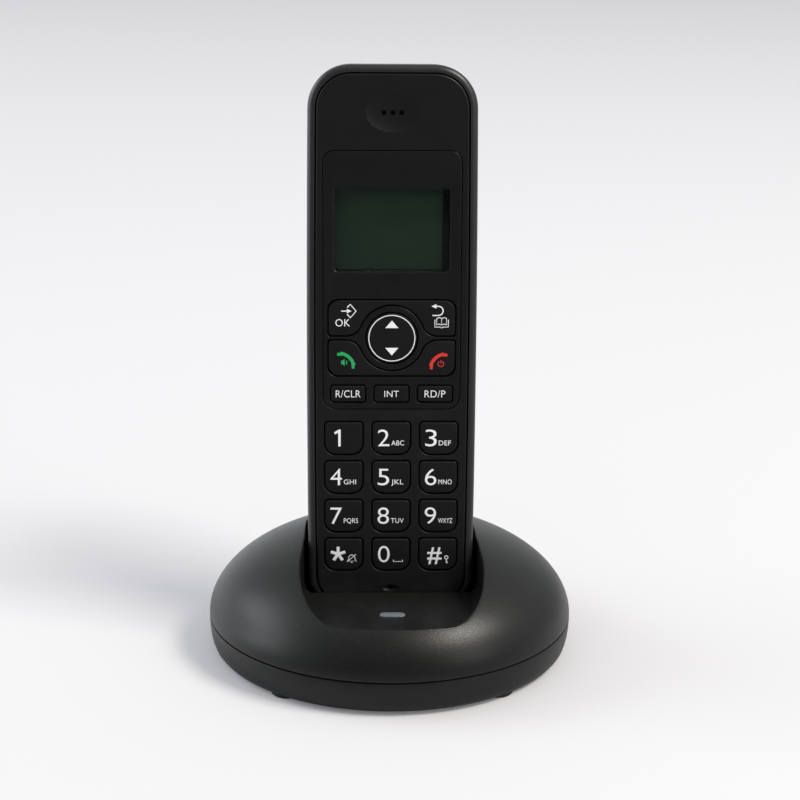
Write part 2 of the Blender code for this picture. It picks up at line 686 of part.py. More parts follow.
def build_base_board_and_sockets():
    board = rounded_box(2 * BOARD_HALF_WIDTH, BOARD_FRONT, BOARD_BACK, 3.0 * MM, 3.0 * MM, 2)
    board = prism(board, BOARD_HEIGHT, BOARD_HEIGHT + BOARD_THICKNESS, "XY")
    add_part("base_circuit_board", board, "board_green")
    front = NICHE_WALL - 0.1 * MM
    stand = (BOARD_HEIGHT + BOARD_THICKNESS + GAP, SOCKET_FOOT + MM)
    middle = SOCKET_FOOT + SOCKET_HEIGHT / 2
    bore_depth = (front - SOCKET_BORE, front + MM)
    for name, side in (("line_socket", -1), ("power_socket", 1)):
        x = side * SOCKET_X
        width = across(x, SOCKET_WIDTH / 2)
        body = box(width, (front - SOCKET_DEPTH, front), (SOCKET_FOOT, SOCKET_FOOT + SOCKET_HEIGHT))
        socket = add_part(name, body, "socket_black")
        legs = box(width, (front - SOCKET_DEPTH, NICHE_WALL - WALL - GAP), stand)
        boolean(socket, "UNION", add_cutter(name + "_legs", [legs]))
        if name == "line_socket":
            bore = box(across(x, LINE_BORE_WIDTH / 2), bore_depth, across(middle, LINE_BORE_HEIGHT / 2))
        else:
            bore = cylinder(POWER_BORE_RADIUS, *bore_depth, (x, middle))
        boolean(socket, "DIFFERENCE", add_cutter(name + "_bore", [bore]))


def build_page_button():
    inner = NICHE_WALL - WALL - GAP
    outer = NICHE_WALL + PAGE_PROUD
    page = cylinder(PAGE_RADIUS + KEY_FLANGE, inner - 2 * FLANGE_THICKNESS, inner, PAGE_CENTRE)
    face = faces_at(page, 1, inner)[0]
    bmesh.ops.inset_region(page, faces=[face], thickness=KEY_FLANGE, use_even_offset=True)
    raise_face(page, face, 1, outer - inner)
    round_rim(page, 1, outer, 0.4 * MM, 1)
    add_part("page_button", page, "key_black", pivot=(0.0, NICHE_WALL, PAGE_CENTRE[1]))


def build_lens_and_pins():
    top = SCOOP_DEPTH + LENS_PROUD
    lens = prism(stadium(LENS_LENGTH, LENS_WIDTH, (0.0, LENS_Y)), SCOOP_DEPTH - LENS_DEPTH, top, "XY")
    round_rim(lens, 2, top, 0.2 * MM, 1)
    add_part("indicator_lens", lens, "lens_grey", handset_frame)
    below = POCKET_FLOOR - WALL - GAP
    tip = CONTACT_RECESS - GAP
    for name, side in (("left", -1), ("right", 1)):
        at = (side * CONTACT_X, CONTACT_DEPTH)
        pin = cylinder(PIN_RADIUS + PIN_FLANGE, below - PIN_FLANGE_THICKNESS, below, at, "XY")
        face = faces_at(pin, 2, below)[0]
        bmesh.ops.inset_region(pin, faces=[face], thickness=PIN_FLANGE, use_even_offset=True)
        raise_face(pin, face, 2, tip - below)
        round_rim(pin, 2, tip, 0.7 * MM, 2)
        add_part("charge_pin_" + name, pin, "nickel", handset_frame, (*at, 0.0))


# Handset ----------------------------------------------------------------------------------


POST_PLACES = [(-POST_X, POST_HEIGHT), (POST_X, POST_HEIGHT)]
THROUGH = (-MM, SKIRT_DEPTH + MM)
OUTWARD = HANDSET_THICKNESS + MM


def build_front_shell():
    shape = prism(handset_outline(FACE_INSET), 0.0, SKIRT_DEPTH)
    round_rim(shape, 1, 0.0, 0.5 * MM, 2)
    shell = add_part("handset_front_shell", shape, "face_black", handset_frame)
    inside = prism(handset_outline(FACE_INSET + SKIRT_WALL), FACE_THICKNESS, SKIRT_DEPTH + MM)
    boolean(shell, "DIFFERENCE", add_cutter("front_shell_inside", [inside], handset_frame))
    posts = [cylinder(POST_RADIUS, FACE_THICKNESS - MM, POST_SPLIT - GAP, at) for at in POST_PLACES]
    boolean(shell, "UNION", add_cutter("front_shell_posts", posts, handset_frame))
    seat = prism(fascia_outline(-FASCIA_GROOVE), -MM, FASCIA_THICKNESS + GAP)
    boolean(shell, "DIFFERENCE", add_cutter("fascia_seat", [seat], handset_frame))
    keys = [number_key_outline(column, row, KEY_GAP / 2) for row in range(4) for column in range(3)]
    openings = [prism(outline, *THROUGH) for outline in keys + [fascia_outline(FASCIA_LEDGE)]]
    pilot_end = POST_SPLIT - HANDSET_SCREW_LENGTH
    openings += [cylinder(SCREW_SHANK + GAP, pilot_end, OUTWARD, at, "XZ", 12) for at in POST_PLACES]
    for step in (-1, 0, 1):
        openings.append(cylinder(EAR_HOLE / 2, *THROUGH, (step * EAR_PITCH, EAR_HEIGHT), "XZ", 12))
    openings.append(cylinder(0.6 * MM, *THROUGH, (0.0, MIC_HEIGHT), "XZ", 10))
    boolean(shell, "DIFFERENCE", add_cutter("face_openings", openings, handset_frame))
    dish = ellipsoid((EAR_WIDTH / 2, EAR_DEPTH, EAR_LENGTH / 2), (0.0, 0.0, EAR_HEIGHT), 24, 8)
    thumb = ellipsoid((2.4 * MM, 1.1 * MM, 1.1 * MM), (0.0, 0.0, MIC_HEIGHT), 16, 8)
    boolean(shell, "DIFFERENCE", add_cutter("face_dishes", [dish, thumb], handset_frame))


def ellipsoid(radii, centre, around, rings):
    shape = bmesh.new()
    bmesh.ops.create_uvsphere(shape, u_segments=around, v_segments=rings, radius=1.0)
    bmesh.ops.scale(shape, vec=radii, verts=shape.verts)
    return shifted(shape, centre)


def build_rear_shell():
    shape = prism(handset_outline(0.0), RIM_SETBACK, HANDSET_THICKNESS)
    round_rim(shape, 1, HANDSET_THICKNESS, BACK_ROUNDING, 5)
    round_rim(shape, 1, RIM_SETBACK, RIM_ROUNDING, 3)
    shell = add_part("handset_rear_shell", shape, "casing_black", handset_frame)
    inner_back = HANDSET_THICKNESS - BACK_WALL
    inside = prism(handset_outline(SHELL_WALL), -MM, inner_back)
    round_rim(inside, 1, inner_back, BACK_ROUNDING - SHELL_WALL, 4)
    boolean(shell, "DIFFERENCE", add_cutter("rear_shell_inside", [inside], handset_frame))
    post_radius = SCREW_HEAD + GAP + 0.7 * MM
    posts = [cylinder(post_radius, POST_SPLIT, inner_back + BACK_WALL / 2, at) for at in POST_PLACES]
    boolean(shell, "UNION", add_cutter("rear_shell_posts", posts, handset_frame))
    low = BAY_CENTRE - DOOR_LENGTH / 2 - DOOR_TRAVEL - GAP
    high = BAY_CENTRE + DOOR_LENGTH / 2 + GAP
    recess = rounded_box(DOOR_WIDTH + 2 * GAP, low, high, DOOR_CORNER, DOOR_CORNER)
    cuts = [prism(recess, HANDSET_THICKNESS - DOOR_THICKNESS - GAP, OUTWARD)]
    well = HANDSET_SCREW_HEAD + 1.3 * GAP
    cuts += [cylinder(well, POST_SPLIT + SCREW_WELL, OUTWARD, at) for at in POST_PLACES]
    for step in range(-2, 3):
        level = across(RINGER_HEIGHT + step * RINGER_PITCH, RINGER_SLOT / 2)
        slot = rounded_box(RINGER_SLOT_LENGTH, *level, 0.4 * RINGER_SLOT, 0.4 * RINGER_SLOT, 2)
        cuts.append(prism(slot, inner_back - MM, OUTWARD))
    boolean(shell, "DIFFERENCE", add_cutter("rear_shell_cuts", cuts, handset_frame))
    bay_length = across(BAY_CENTRE, BAY_LENGTH / 2)
    bay = box(across(0.0, BAY_WIDTH / 2), (POST_SPLIT, HANDSET_THICKNESS), bay_length)
    openings = [bay]
    shank = SCREW_SHANK + GAP
    openings += [cylinder(shank, POST_SPLIT - MM, HANDSET_THICKNESS, at, "XZ", 12) for at in POST_PLACES]
    for side in (-1, 1):
        x = across(side * CONTACT_X, CONTACT_WIDTH / 2 + GAP)
        y = across(CONTACT_DEPTH, CONTACT_LENGTH / 2 + GAP)
        openings.append(box(x, y, (-MM, SHELL_WALL + MM)))
    boolean(shell, "DIFFERENCE", add_cutter("rear_shell_openings", openings, handset_frame))


def build_keys():
    names = ["1", "2", "3", "4", "5", "6", "7", "8", "9", "star", "0", "hash"]
    for index, name in enumerate(names):
        row, column = divmod(index, 3)
        outline = number_key_outline(column, row, KEY_FLANGE - KEY_GAP / 2)
        pivot = ((column - 1) * KEY_PITCH_X, 0.0, KEY_FIRST_ROW - row * KEY_PITCH_Z)
        cap = stepped_key(outline, KEY_FLANGE, -KEY_PROUD)
        add_part("key_" + name, cap, "key_black", handset_frame, pivot)
    for column, name in enumerate(["clear", "intercom", "redial"]):
        outline = function_key_outline(column, BAR_FLANGE - KEY_GAP / 2)
        pivot = ((column - 1) * FUNCTION_PITCH, 0.0, FUNCTION_CENTRE)
        cap = stepped_key(outline, BAR_FLANGE, -KEY_PROUD)
        add_part("key_" + name, cap, "key_black", handset_frame, pivot)
    for name, side in (("menu_bar_key", 1), ("call_bar_key", -1)):
        bar = stepped_key(bar_outline(BAR_FLANGE - KEY_GAP / 2, side), BAR_FLANGE, -BAR_PROUD)
        add_part(name, bar, "key_black", handset_frame, (0.0, NAV_PIVOT_DEPTH, NAV_HEIGHT))
    disc = arc((0.0, NAV_HEIGHT), NAV_RADIUS - KEY_GAP / 2 + BAR_FLANGE, 0, 350, 35)
    nav = stepped_key(disc, BAR_FLANGE, -NAV_PROUD)
    add_part("nav_key", nav, "key_black", handset_frame, (0.0, NAV_PIVOT_DEPTH, NAV_HEIGHT))


def build_fascia():
    plate = prism(fascia_outline(0.0), 0.0, FASCIA_THICKNESS)
    round_rim(plate, 1, 0.0, 0.2 * MM, 1)
    fascia = add_part("control_fascia", plate, "fascia_black", handset_frame)
    openings = [rounded_box(WINDOW_WIDTH, WINDOW_BOTTOM, WINDOW_TOP, 0.8 * MM, 0.8 * MM, 2)]
    openings += [bar_outline(KEY_GAP / 2, side) for side in (1, -1)]
    openings.append(arc((0.0, NAV_HEIGHT), NAV_RADIUS + KEY_GAP / 2, 0, 350, 35))
    openings += [function_key_outline(column, KEY_GAP / 2) for column in range(3)]
    cuts = [prism(outline, -MM, FASCIA_THICKNESS + MM) for outline in openings]
    boolean(fascia, "DIFFERENCE", add_cutter("fascia_openings", cuts, handset_frame))


def build_display():
    low = WINDOW_BOTTOM - WINDOW_MARGIN
    high = WINDOW_TOP + WINDOW_MARGIN
    width = WINDOW_WIDTH + 2 * WINDOW_MARGIN
    window_front = FASCIA_THICKNESS + GAP
    panel_front = window_front + WINDOW_THICKNESS + GAP
    holder_front = panel_front + PANEL_THICKNESS + GAP
    window = prism(rounded_box(width, low, high, MM, MM, 2), window_front, window_front + WINDOW_THICKNESS)
    add_part("display_window", window, "display_glass", handset_frame)
    panel = rounded_box(width - WINDOW_MARGIN, low, high, 0.5 * MM, 0.5 * MM, 1)
    panel = prism(panel, panel_front, panel_front + PANEL_THICKNESS)
    add_part("display_panel", panel, "display_green", handset_frame)
    holder = rounded_box(width, low - MM, high + MM, MM, MM, 2)
    holder = prism(holder, holder_front, PHONE_BOARD_FRONT - GAP)
    add_part("display_holder", holder, "rubber_grey", handset_frame)


def build_boards_and_sound():
    mat_low = POST_HEIGHT + POST_RADIUS + 2 * GAP
    mat_high = NAV_HEIGHT + BAR_REACH + MM
    width = HANDSET_WIDTH - 2 * (FACE_INSET + SKIRT_WALL + MM)
    mat_outline = rounded_box(width, mat_low, mat_high, MAT_CORNER, MAT_CORNER, 2)
    mat = prism(mat_outline, MAT_FRONT, MAT_FRONT + MAT_THICKNESS)
    add_part("keypad_mat", mat, "rubber_grey", handset_frame)
    board_low = POST_HEIGHT + POST_RADIUS + 1.5 * MM
    board_high = EAR_HEIGHT - SPEAKER_RADIUS - 3.0 * MM
    board = rounded_box(width, board_low, board_high, 2 * MM, 2 * MM, 2)
    board = prism(board, PHONE_BOARD_FRONT, PHONE_BOARD_FRONT + BOARD_THICKNESS)
    add_part("handset_circuit_board", board, "board_green", handset_frame)
    back = FLANGE_FRONT + SPEAKER_THICKNESS
    speaker = cylinder(SPEAKER_RADIUS, FLANGE_FRONT, back, (0.0, EAR_HEIGHT), "XZ", 28)
    round_rim(speaker, 1, back, 1.2 * MM, 1)
    add_part("earpiece_speaker", speaker, "steel", handset_frame)
    mic = cylinder(MIC_RADIUS, FLANGE_FRONT, FLANGE_FRONT + MIC_THICKNESS, (0.0, MIC_HEIGHT))
    add_part("microphone", mic, "steel", handset_frame)
    ringer = cylinder(RINGER_RADIUS, BAY_BACK - RINGER_THICKNESS, BAY_BACK, (0.0, RINGER_HEIGHT), "XZ", 28)
    round_rim(ringer, 1, BAY_BACK - RINGER_THICKNESS, 1.5 * MM, 1)
    add_part("ringer_speaker", ringer, "steel", handset_frame)


def build_contacts_and_screws():
    for name, side in (("left", -1), ("right", 1)):
        x = across(side * CONTACT_X, CONTACT_WIDTH / 2)
        y = across(CONTACT_DEPTH, CONTACT_LENGTH / 2)
        plate = box(x, y, (CONTACT_RECESS, CONTACT_RECESS + CONTACT_THICKNESS))
        add_part("charge_contact_" + name, plate, "nickel", handset_frame)
        seat = POST_SPLIT + SCREW_WELL + GAP
        at = (side * POST_X, POST_HEIGHT)
        screw = screw_shape(at, "XZ", seat, -HANDSET_SCREW_LENGTH, HANDSET_SCREW_HEAD)
        add_part("handset_screw_" + name, screw, "steel", handset_frame)


def build_battery():
    low = BAY_FOOT
    high = BAY_FOOT + BAY_LENGTH
    half = BAY_WIDTH / 2
    outer = box(across(0.0, half + BAY_WALL), (BAY_FRONT, BAY_BACK), (low - BAY_WALL, high + BAY_WALL))
    tray = add_part("battery_tray", outer, "socket_black", handset_frame)
    floor = BAY_FRONT + BAY_FLOOR
    inner = box(across(0.0, half), (floor, BAY_BACK + MM), (low, high))
    boolean(tray, "DIFFERENCE", add_cutter("tray_inside", [inner], handset_frame))
    depth = floor + GAP + CELL_RADIUS
    start = low + GAP + SPRING_LENGTH + GAP
    end = start + CELL_LENGTH
    for name, side in (("left", -1), ("right", 1)):
        cell = cylinder(CELL_RADIUS, start, end, (side * CELL_X, depth), "XY", 24)
        face = faces_at(cell, 2, end)[0]
        inset = CELL_RADIUS - CELL_NUB_RADIUS
        bmesh.ops.inset_region(cell, faces=[face], thickness=inset, use_even_offset=True)
        raise_face(cell, face, 2, CELL_NUB)
        add_part("battery_cell_" + name, cell, "cell_wrap", handset_frame)
        build_spring("battery_spring_" + name, (side * CELL_X, depth, low + GAP))
    plate_low = end + CELL_NUB + GAP
    plate_x = across(0.0, CELL_X + PLATE_HALF)
    plate = box(plate_x, across(depth, PLATE_HALF), (plate_low, plate_low + PLATE_THICKNESS))
    add_part("battery_bridge", plate, "nickel", handset_frame)
    build_battery_door()


def build_battery_door():
    corner = DOOR_CORNER - GAP
    low = BAY_CENTRE - DOOR_LENGTH / 2
    high = BAY_CENTRE + DOOR_LENGTH / 2
    outline = rounded_box(DOOR_WIDTH, low, high, corner, corner)
    shape = prism(outline, HANDSET_THICKNESS - DOOR_THICKNESS, HANDSET_THICKNESS)
    round_rim(shape, 1, HANDSET_THICKNESS, 0.3 * MM, 1)
    pivot = (0.0, HANDSET_THICKNESS, BAY_CENTRE)
    door = add_part("battery_door", shape, "casing_black", handset_frame, pivot)
    grips = []
    for step in range(4):
        level = across(high - 5.0 * MM - step * GRIP_PITCH, GRIP_HEIGHT / 2)
        grips.append(box(across(0.0, GRIP_WIDTH / 2), (HANDSET_THICKNESS - GRIP_DEPTH, OUTWARD), level))
    boolean(door, "DIFFERENCE", add_cutter("door_grips", grips, handset_frame))


def build_spring(name, foot):
    """Conical coil that narrows from the tray's end to the cell."""
    curve = bpy.data.curves.new(name, "CURVE")
    curve.dimensions = "3D"
    curve.bevel_depth = SPRING_WIRE
    curve.bevel_resolution = 1
    curve.use_fill_caps = True
    spline = curve.splines.new("POLY")
    per_turn = 8
    count = SPRING_TURNS * per_turn
    wide = 0.68 * CELL_RADIUS
    narrow = 0.42 * CELL_RADIUS
    spline.points.add(count)
    for step in range(count + 1):
        share = step / count
        radius = wide + (narrow - wide) * share
        angle = 2 * math.pi * step / per_turn
        height = SPRING_WIRE + (SPRING_LENGTH - 2 * SPRING_WIRE) * share
        x = foot[0] + radius * math.cos(angle)
        y = foot[1] + radius * math.sin(angle)
        spline.points[step].co = (x, y, foot[2] + height, 1.0)
    curve.materials.append(MATERIALS["nickel"])
    add_mesh(name, curve, PARTS, handset_frame)


build_upper_cover()
build_lower_cover()
build_feet_and_screws()
build_base_board_and_sockets()
build_page_button()
build_lens_and_pins()
build_front_shell()
build_rear_shell()
build_fascia()
build_display()
build_keys()
build_boards_and_sound()
build_contacts_and_screws()
build_battery()
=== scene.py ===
# %% [markdown]
# # A cordless phone and its charging base
# The engineering model gives us every piece at its true size: a round domed base, and a
# handset that leans back in its cradle. Here we give each piece that can be seen its finer
# shape and its finish. We start by loading that model, which is never moved or reshaped.

import math

import bmesh
import bpy
from mathutils import Matrix, Vector


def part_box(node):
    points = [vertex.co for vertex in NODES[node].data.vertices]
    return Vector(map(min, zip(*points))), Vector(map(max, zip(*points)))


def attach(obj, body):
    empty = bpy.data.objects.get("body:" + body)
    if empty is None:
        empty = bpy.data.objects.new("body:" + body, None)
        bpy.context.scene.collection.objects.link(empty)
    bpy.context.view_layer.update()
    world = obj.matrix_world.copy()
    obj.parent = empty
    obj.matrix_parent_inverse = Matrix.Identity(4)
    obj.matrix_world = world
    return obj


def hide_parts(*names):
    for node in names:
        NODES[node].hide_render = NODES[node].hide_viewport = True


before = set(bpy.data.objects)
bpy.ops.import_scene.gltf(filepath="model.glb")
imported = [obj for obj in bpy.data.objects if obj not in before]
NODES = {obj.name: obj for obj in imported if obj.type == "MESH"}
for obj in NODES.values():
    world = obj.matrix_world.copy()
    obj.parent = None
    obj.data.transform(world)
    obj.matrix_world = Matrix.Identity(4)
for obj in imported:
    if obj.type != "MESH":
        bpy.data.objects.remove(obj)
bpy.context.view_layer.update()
MM = 0.001

# %% [markdown]
# ## Two places to work in
# The base stands level, but the handset leans back by 6 degrees. It is much easier to model
# an upright handset and lean it back at the end, so HANDSET is the matrix that does this. In
# handset space X is across, Y goes into the phone from its face, and Z climbs from its foot.

# %% Handset space, and how to measure a node in it
LEAN = math.radians(6.0)
WORLD = Matrix.Identity(4)
HANDSET = Matrix.Translation((0.0, -9.84 * MM, 12.998 * MM)) @ Matrix.Rotation(-LEAN, 4, "X")


def measure(node):
    """Lowest and highest corner of a node of the engineering model, in handset space."""
    back = HANDSET.inverted()
    points = [back @ vert.co for vert in NODES[node].data.vertices]
    low = Vector([min(point[axis] for point in points) for axis in range(3)])
    high = Vector([max(point[axis] for point in points) for axis in range(3)])
    return low, high


SHELL_LOW, SHELL_HIGH = measure("handset_rear_shell")
LENGTH = SHELL_HIGH.z - SHELL_LOW.z
WIDTH = SHELL_HIGH.x - SHELL_LOW.x
THICKNESS = 26.0 * MM
print("handset", [round(size / MM, 2) for size in (WIDTH, THICKNESS, LENGTH)], "mm")

# %% [markdown]
# ## Small helpers for solid shapes
# Nearly everything on a phone is a flat outline with round corners, drawn out to a depth and
# softened along its edges. These helpers do that with the same tools as the editor: a plane,
# a vertex bevel for the corners, an extrusion for the depth and an edge bevel for the rim.


# %% A plane with round corners
def plate(width, low, high, low_radius, high_radius, segments=8, centre=0.0):
    """One upright face in the XZ plane, with its own radius for the lower and upper corners."""
    shape = bmesh.new()
    bmesh.ops.create_grid(shape, x_segments=1, y_segments=1, size=0.5)
    bmesh.ops.rotate(shape, matrix=Matrix.Rotation(math.pi / 2, 3, "X"), verts=shape.verts)
    bmesh.ops.scale(shape, vec=(width, 1.0, high - low), verts=shape.verts)
    bmesh.ops.translate(shape, vec=(centre, 0.0, (low + high) / 2), verts=shape.verts)
    for level, radius in ((low, low_radius), (high, high_radius)):
        corners = [vert for vert in shape.verts if abs(vert.co.z - level) < 1e-7]
        corners = [v for v in corners if abs(abs(v.co.x - centre) - width / 2) < 1e-7]
        if radius > 0:
            bmesh.ops.bevel(
                shape, geom=corners, offset=radius, segments=segments, profile=0.5,
                affect="VERTICES", material=-1,
            )
    return shape


# %% Drawing a face out and softening its rim
SAME = 1e-6  # points closer than this, in metres, lie at one level


def moved(shape, offset):
    bmesh.ops.translate(shape, vec=offset, verts=shape.verts)
    return shape


def faces_at(shape, axis, level):
    return [f for f in shape.faces if all(abs(v.co[axis] - level) < SAME for v in f.verts)]


def draw_out(shape, faces, offset):
    """Extrudes these faces by the offset, as one piece, and leaves no wall behind them."""
    region = set(faces)
    rims = [e for face in faces for e in face.edges if sum(f in region for f in e.link_faces) == 1]
    closed = any(len(edge.link_faces) > 1 for edge in rims)
    grown = bmesh.ops.extrude_face_region(shape, geom=faces)["geom"]
    bmesh.ops.translate(shape, vec=offset, verts=[g for g in grown if isinstance(g, bmesh.types.BMVert)])
    old = [face for face in faces if face.is_valid]
    if closed and old:
        bmesh.ops.delete(shape, geom=old, context="FACES_ONLY")
    return [g for g in grown if isinstance(g, bmesh.types.BMFace)]


def thicken(shape, depth, axis=1):
    """Turns a flat face into a closed solid."""
    offset = [0.0, 0.0, 0.0]
    offset[axis] = depth
    draw_out(shape, shape.faces[:], offset)
    bmesh.ops.recalc_face_normals(shape, faces=shape.faces)
    return shape


def soften(shape, axis, level, radius, segments):
    """Rounds every edge that lies at one level along an axis."""
    edges = [e for e in shape.edges if all(abs(v.co[axis] - level) < SAME for v in e.verts)]
    edges = [e for e in edges if e.is_manifold and e.calc_face_angle(0.0) > 0.3]
    bmesh.ops.bevel(
        shape, geom=edges, offset=radius, segments=segments, profile=0.5,
        affect="EDGES", material=-1, clamp_overlap=True,
    )
    return shape


def inset(shape, face, width):
    bmesh.ops.inset_region(shape, faces=[face], thickness=width, use_even_offset=True)
    return face


# %% [markdown]
# ## Turned shapes, straight bars and holes
# Screws, pins and feet are turned: a few points give the profile and a full spin closes it.
# Where one solid cuts another, an exact boolean gives a clean hole, so a helper runs it on
# two meshes and hands back the result.


# %% Spin, cylinder, box and boolean
def turn(profile, steps=64):
    """Spins (radius, height) points about the Z axis into a closed solid."""
    shape = bmesh.new()
    verts = [shape.verts.new((radius, 0.0, height)) for radius, height in profile]
    edges = [shape.edges.new(pair) for pair in zip(verts, verts[1:])]
    bmesh.ops.spin(
        shape, geom=verts + edges, cent=(0, 0, 0), axis=(0, 0, 1), angle=2 * math.pi,
        steps=steps, use_merge=True,
    )
    bmesh.ops.remove_doubles(shape, verts=shape.verts, dist=1e-7)
    bmesh.ops.recalc_face_normals(shape, faces=shape.faces)
    return shape


def rod(radius, low, high, at=(0.0, 0.0), axis="Y", segments=32):
    """Closed cylinder along Y or Z; at gives its other two coordinates."""
    shape = bmesh.new()
    bmesh.ops.create_cone(
        shape, cap_ends=True, segments=segments, radius1=radius, radius2=radius, depth=high - low,
    )
    if axis == "Y":
        bmesh.ops.rotate(shape, matrix=Matrix.Rotation(-math.pi / 2, 3, "X"), verts=shape.verts)
        return moved(shape, (at[0], (low + high) / 2, at[1]))
    return moved(shape, (at[0], at[1], (low + high) / 2))


def block(x, y, z):
    shape = bmesh.new()
    bmesh.ops.create_cube(shape, size=1.0)
    bmesh.ops.scale(shape, vec=(x[1] - x[0], y[1] - y[0], z[1] - z[0]), verts=shape.verts)
    return moved(shape, (sum(x) / 2, sum(y) / 2, sum(z) / 2))


def combine(first, second, operation="DIFFERENCE"):
    """Exact boolean of two closed shapes. Both are used up and a new shape comes back."""
    drafts = []
    for shape in (first, second):
        mesh = bpy.data.meshes.new("draft")
        shape.to_mesh(mesh)
        shape.free()
        draft = bpy.data.objects.new("draft", mesh)
        bpy.context.scene.collection.objects.link(draft)
        drafts.append(draft)
    modifier = drafts[0].modifiers.new("combine", "BOOLEAN")
    modifier.operation = operation
    modifier.solver = "EXACT"
    modifier.object = drafts[1]
    bpy.context.view_layer.update()
    result = bmesh.new()
    result.from_object(drafts[0], bpy.context.evaluated_depsgraph_get())
    for draft in drafts:
        bpy.data.objects.remove(draft, do_unlink=True)
    return result


def together(shapes):
    """Puts several shapes in one mesh without joining them, to cut with them all at once."""
    whole = bmesh.new()
    for shape in shapes:
        mesh = bpy.data.meshes.new("draft")
        shape.to_mesh(mesh)
        shape.free()
        whole.from_mesh(mesh)
        bpy.data.meshes.remove(mesh)
    return whole


# %% [markdown]
# ## From a shape to a finished piece
# A finished piece is a mesh in world coordinates that rides on one body of the model, stands
# for the plain nodes that it replaces, and carries its finish. Its curved faces
# are smooth, and edges sharper than the given angle stay crisp.


# %% Finish a piece
MATERIALS = {}


def finish_piece(name, shape, material, body, place=WORLD, nodes=(), crisp=32.0, rim=0.0,
                 weigh=False):
    bmesh.ops.transform(shape, matrix=place, verts=shape.verts)
    bmesh.ops.remove_doubles(shape, verts=shape.verts, dist=1e-7)
    mesh = bpy.data.meshes.new(name)
    shape.to_mesh(mesh)
    shape.free()
    names = [material] if isinstance(material, str) else material
    for one in names:
        mesh.materials.append(MATERIALS[one])
    mesh.shade_smooth()
    mesh.set_sharp_from_angle(angle=math.radians(crisp))
    piece = bpy.data.objects.new(name, mesh)
    bpy.context.scene.collection.objects.link(piece)
    if rim > 0:
        soft = piece.modifiers.new("soft_rims", "BEVEL")
        soft.width = rim
        soft.segments = 2
        soft.limit_method = "ANGLE"
        soft.angle_limit = math.radians(50.0)
        soft.harden_normals = True
    if weigh:
        even = piece.modifiers.new("even_shading", "WEIGHTED_NORMAL")
        even.keep_sharp = True
    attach(piece, body)
    if nodes:
        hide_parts(*nodes)
    print(name, len(mesh.polygons), "faces")
    return piece

# %% [markdown]
# # Finishes
# Most of this phone is black, so its look depends on small differences: how fine the moulded
# grain is, how much each finish shines, and where hands have polished it. Effects that many
# finishes share are node groups, built once here and placed in each material with its own
# values. All of them read Object coordinates, which are metres in the model's own space.


# %% Building blocks for node groups
def new_group(name, inputs, outputs):
    """Empty shader node group with named sockets: (name, socket kind, default)."""
    group = bpy.data.node_groups.new(name, "ShaderNodeTree")
    for label, kind, value in inputs:
        socket = group.interface.new_socket(label, in_out="INPUT", socket_type="NodeSocket" + kind)
        socket.default_value = value
    for label, kind in outputs:
        group.interface.new_socket(label, in_out="OUTPUT", socket_type="NodeSocket" + kind)
    return group, group.nodes.new("NodeGroupInput"), group.nodes.new("NodeGroupOutput")


def add_node(tree, kind, settings=None, **values):
    """Adds a node, sets its options, and fills or links its inputs by name."""
    node = tree.nodes.new("ShaderNode" + kind)
    for option, value in (settings or {}).items():
        setattr(node, option, value)
    for label, value in values.items():
        socket = node.inputs[int(label[1:])] if label[1:].isdigit() else node.inputs[label.replace("_", " ")]
        if isinstance(value, bpy.types.NodeSocket):
            tree.links.new(value, socket)
        else:
            socket.default_value = value
    return node


def maths(tree, operation, first, second=0.0, clamp=False):
    node = add_node(tree, "Math", {"operation": operation, "use_clamp": clamp}, i0=first, i1=second)
    return node.outputs[0]


def blend_colours(tree, share, first, second, way="MIX"):
    node = add_node(tree, "Mix", {"data_type": "RGBA", "blend_type": way, "clamp_factor": True})
    for socket, value in ((node.inputs[0], share), (node.inputs[6], first), (node.inputs[7], second)):
        if isinstance(value, bpy.types.NodeSocket):
            tree.links.new(value, socket)
        else:
            socket.default_value = value
    return node.outputs[2]


# %% [markdown]
# ## Moulded grain
# The tool that moulds such a case is eroded with sparks, which leaves a fine random grain in
# the plastic. Two noises, one at the grain's size and one a little coarser, give its height.
# The same noise tells the finish where a grain's top shines a little more.

# %% Moulded grain group
grain, grain_in, grain_out = new_group(
    "moulded_grain",
    [("Size", "Float", 0.0004), ("Coarse", "Float", 0.35)],
    [("Height", "Float"), ("Speckle", "Float")],
)
place_node = add_node(grain, "TexCoord")
per_metre = maths(grain, "DIVIDE", 1.0, grain_in.outputs["Size"])
fine = add_node(grain, "TexNoise", Vector=place_node.outputs["Object"], Scale=per_metre, Detail=2.0,
                Roughness=0.6)
half = maths(grain, "MULTIPLY", per_metre, 0.4)
wide = add_node(grain, "TexVoronoi", {"feature": "SMOOTH_F1"}, Vector=place_node.outputs["Object"],
                Scale=half)
coarse = maths(grain, "MULTIPLY", wide.outputs["Distance"], grain_in.outputs["Coarse"])
grain.links.new(maths(grain, "ADD", fine.outputs["Fac"], coarse), grain_out.inputs["Height"])
sharp = add_node(grain, "MapRange", Value=fine.outputs["Fac"], From_Min=0.5, From_Max=0.72)
grain.links.new(sharp.outputs["Result"], grain_out.inputs["Speckle"])
print("group", grain.name)

# %% [markdown]
# ## Handling: polish, wear and smudges
# Hands leave three traces. Broad smudges change the gloss a little, raised edges are rubbed
# until they are paler and smoother, and the mask of both is broken up by a noise so that no
# edge looks outlined.

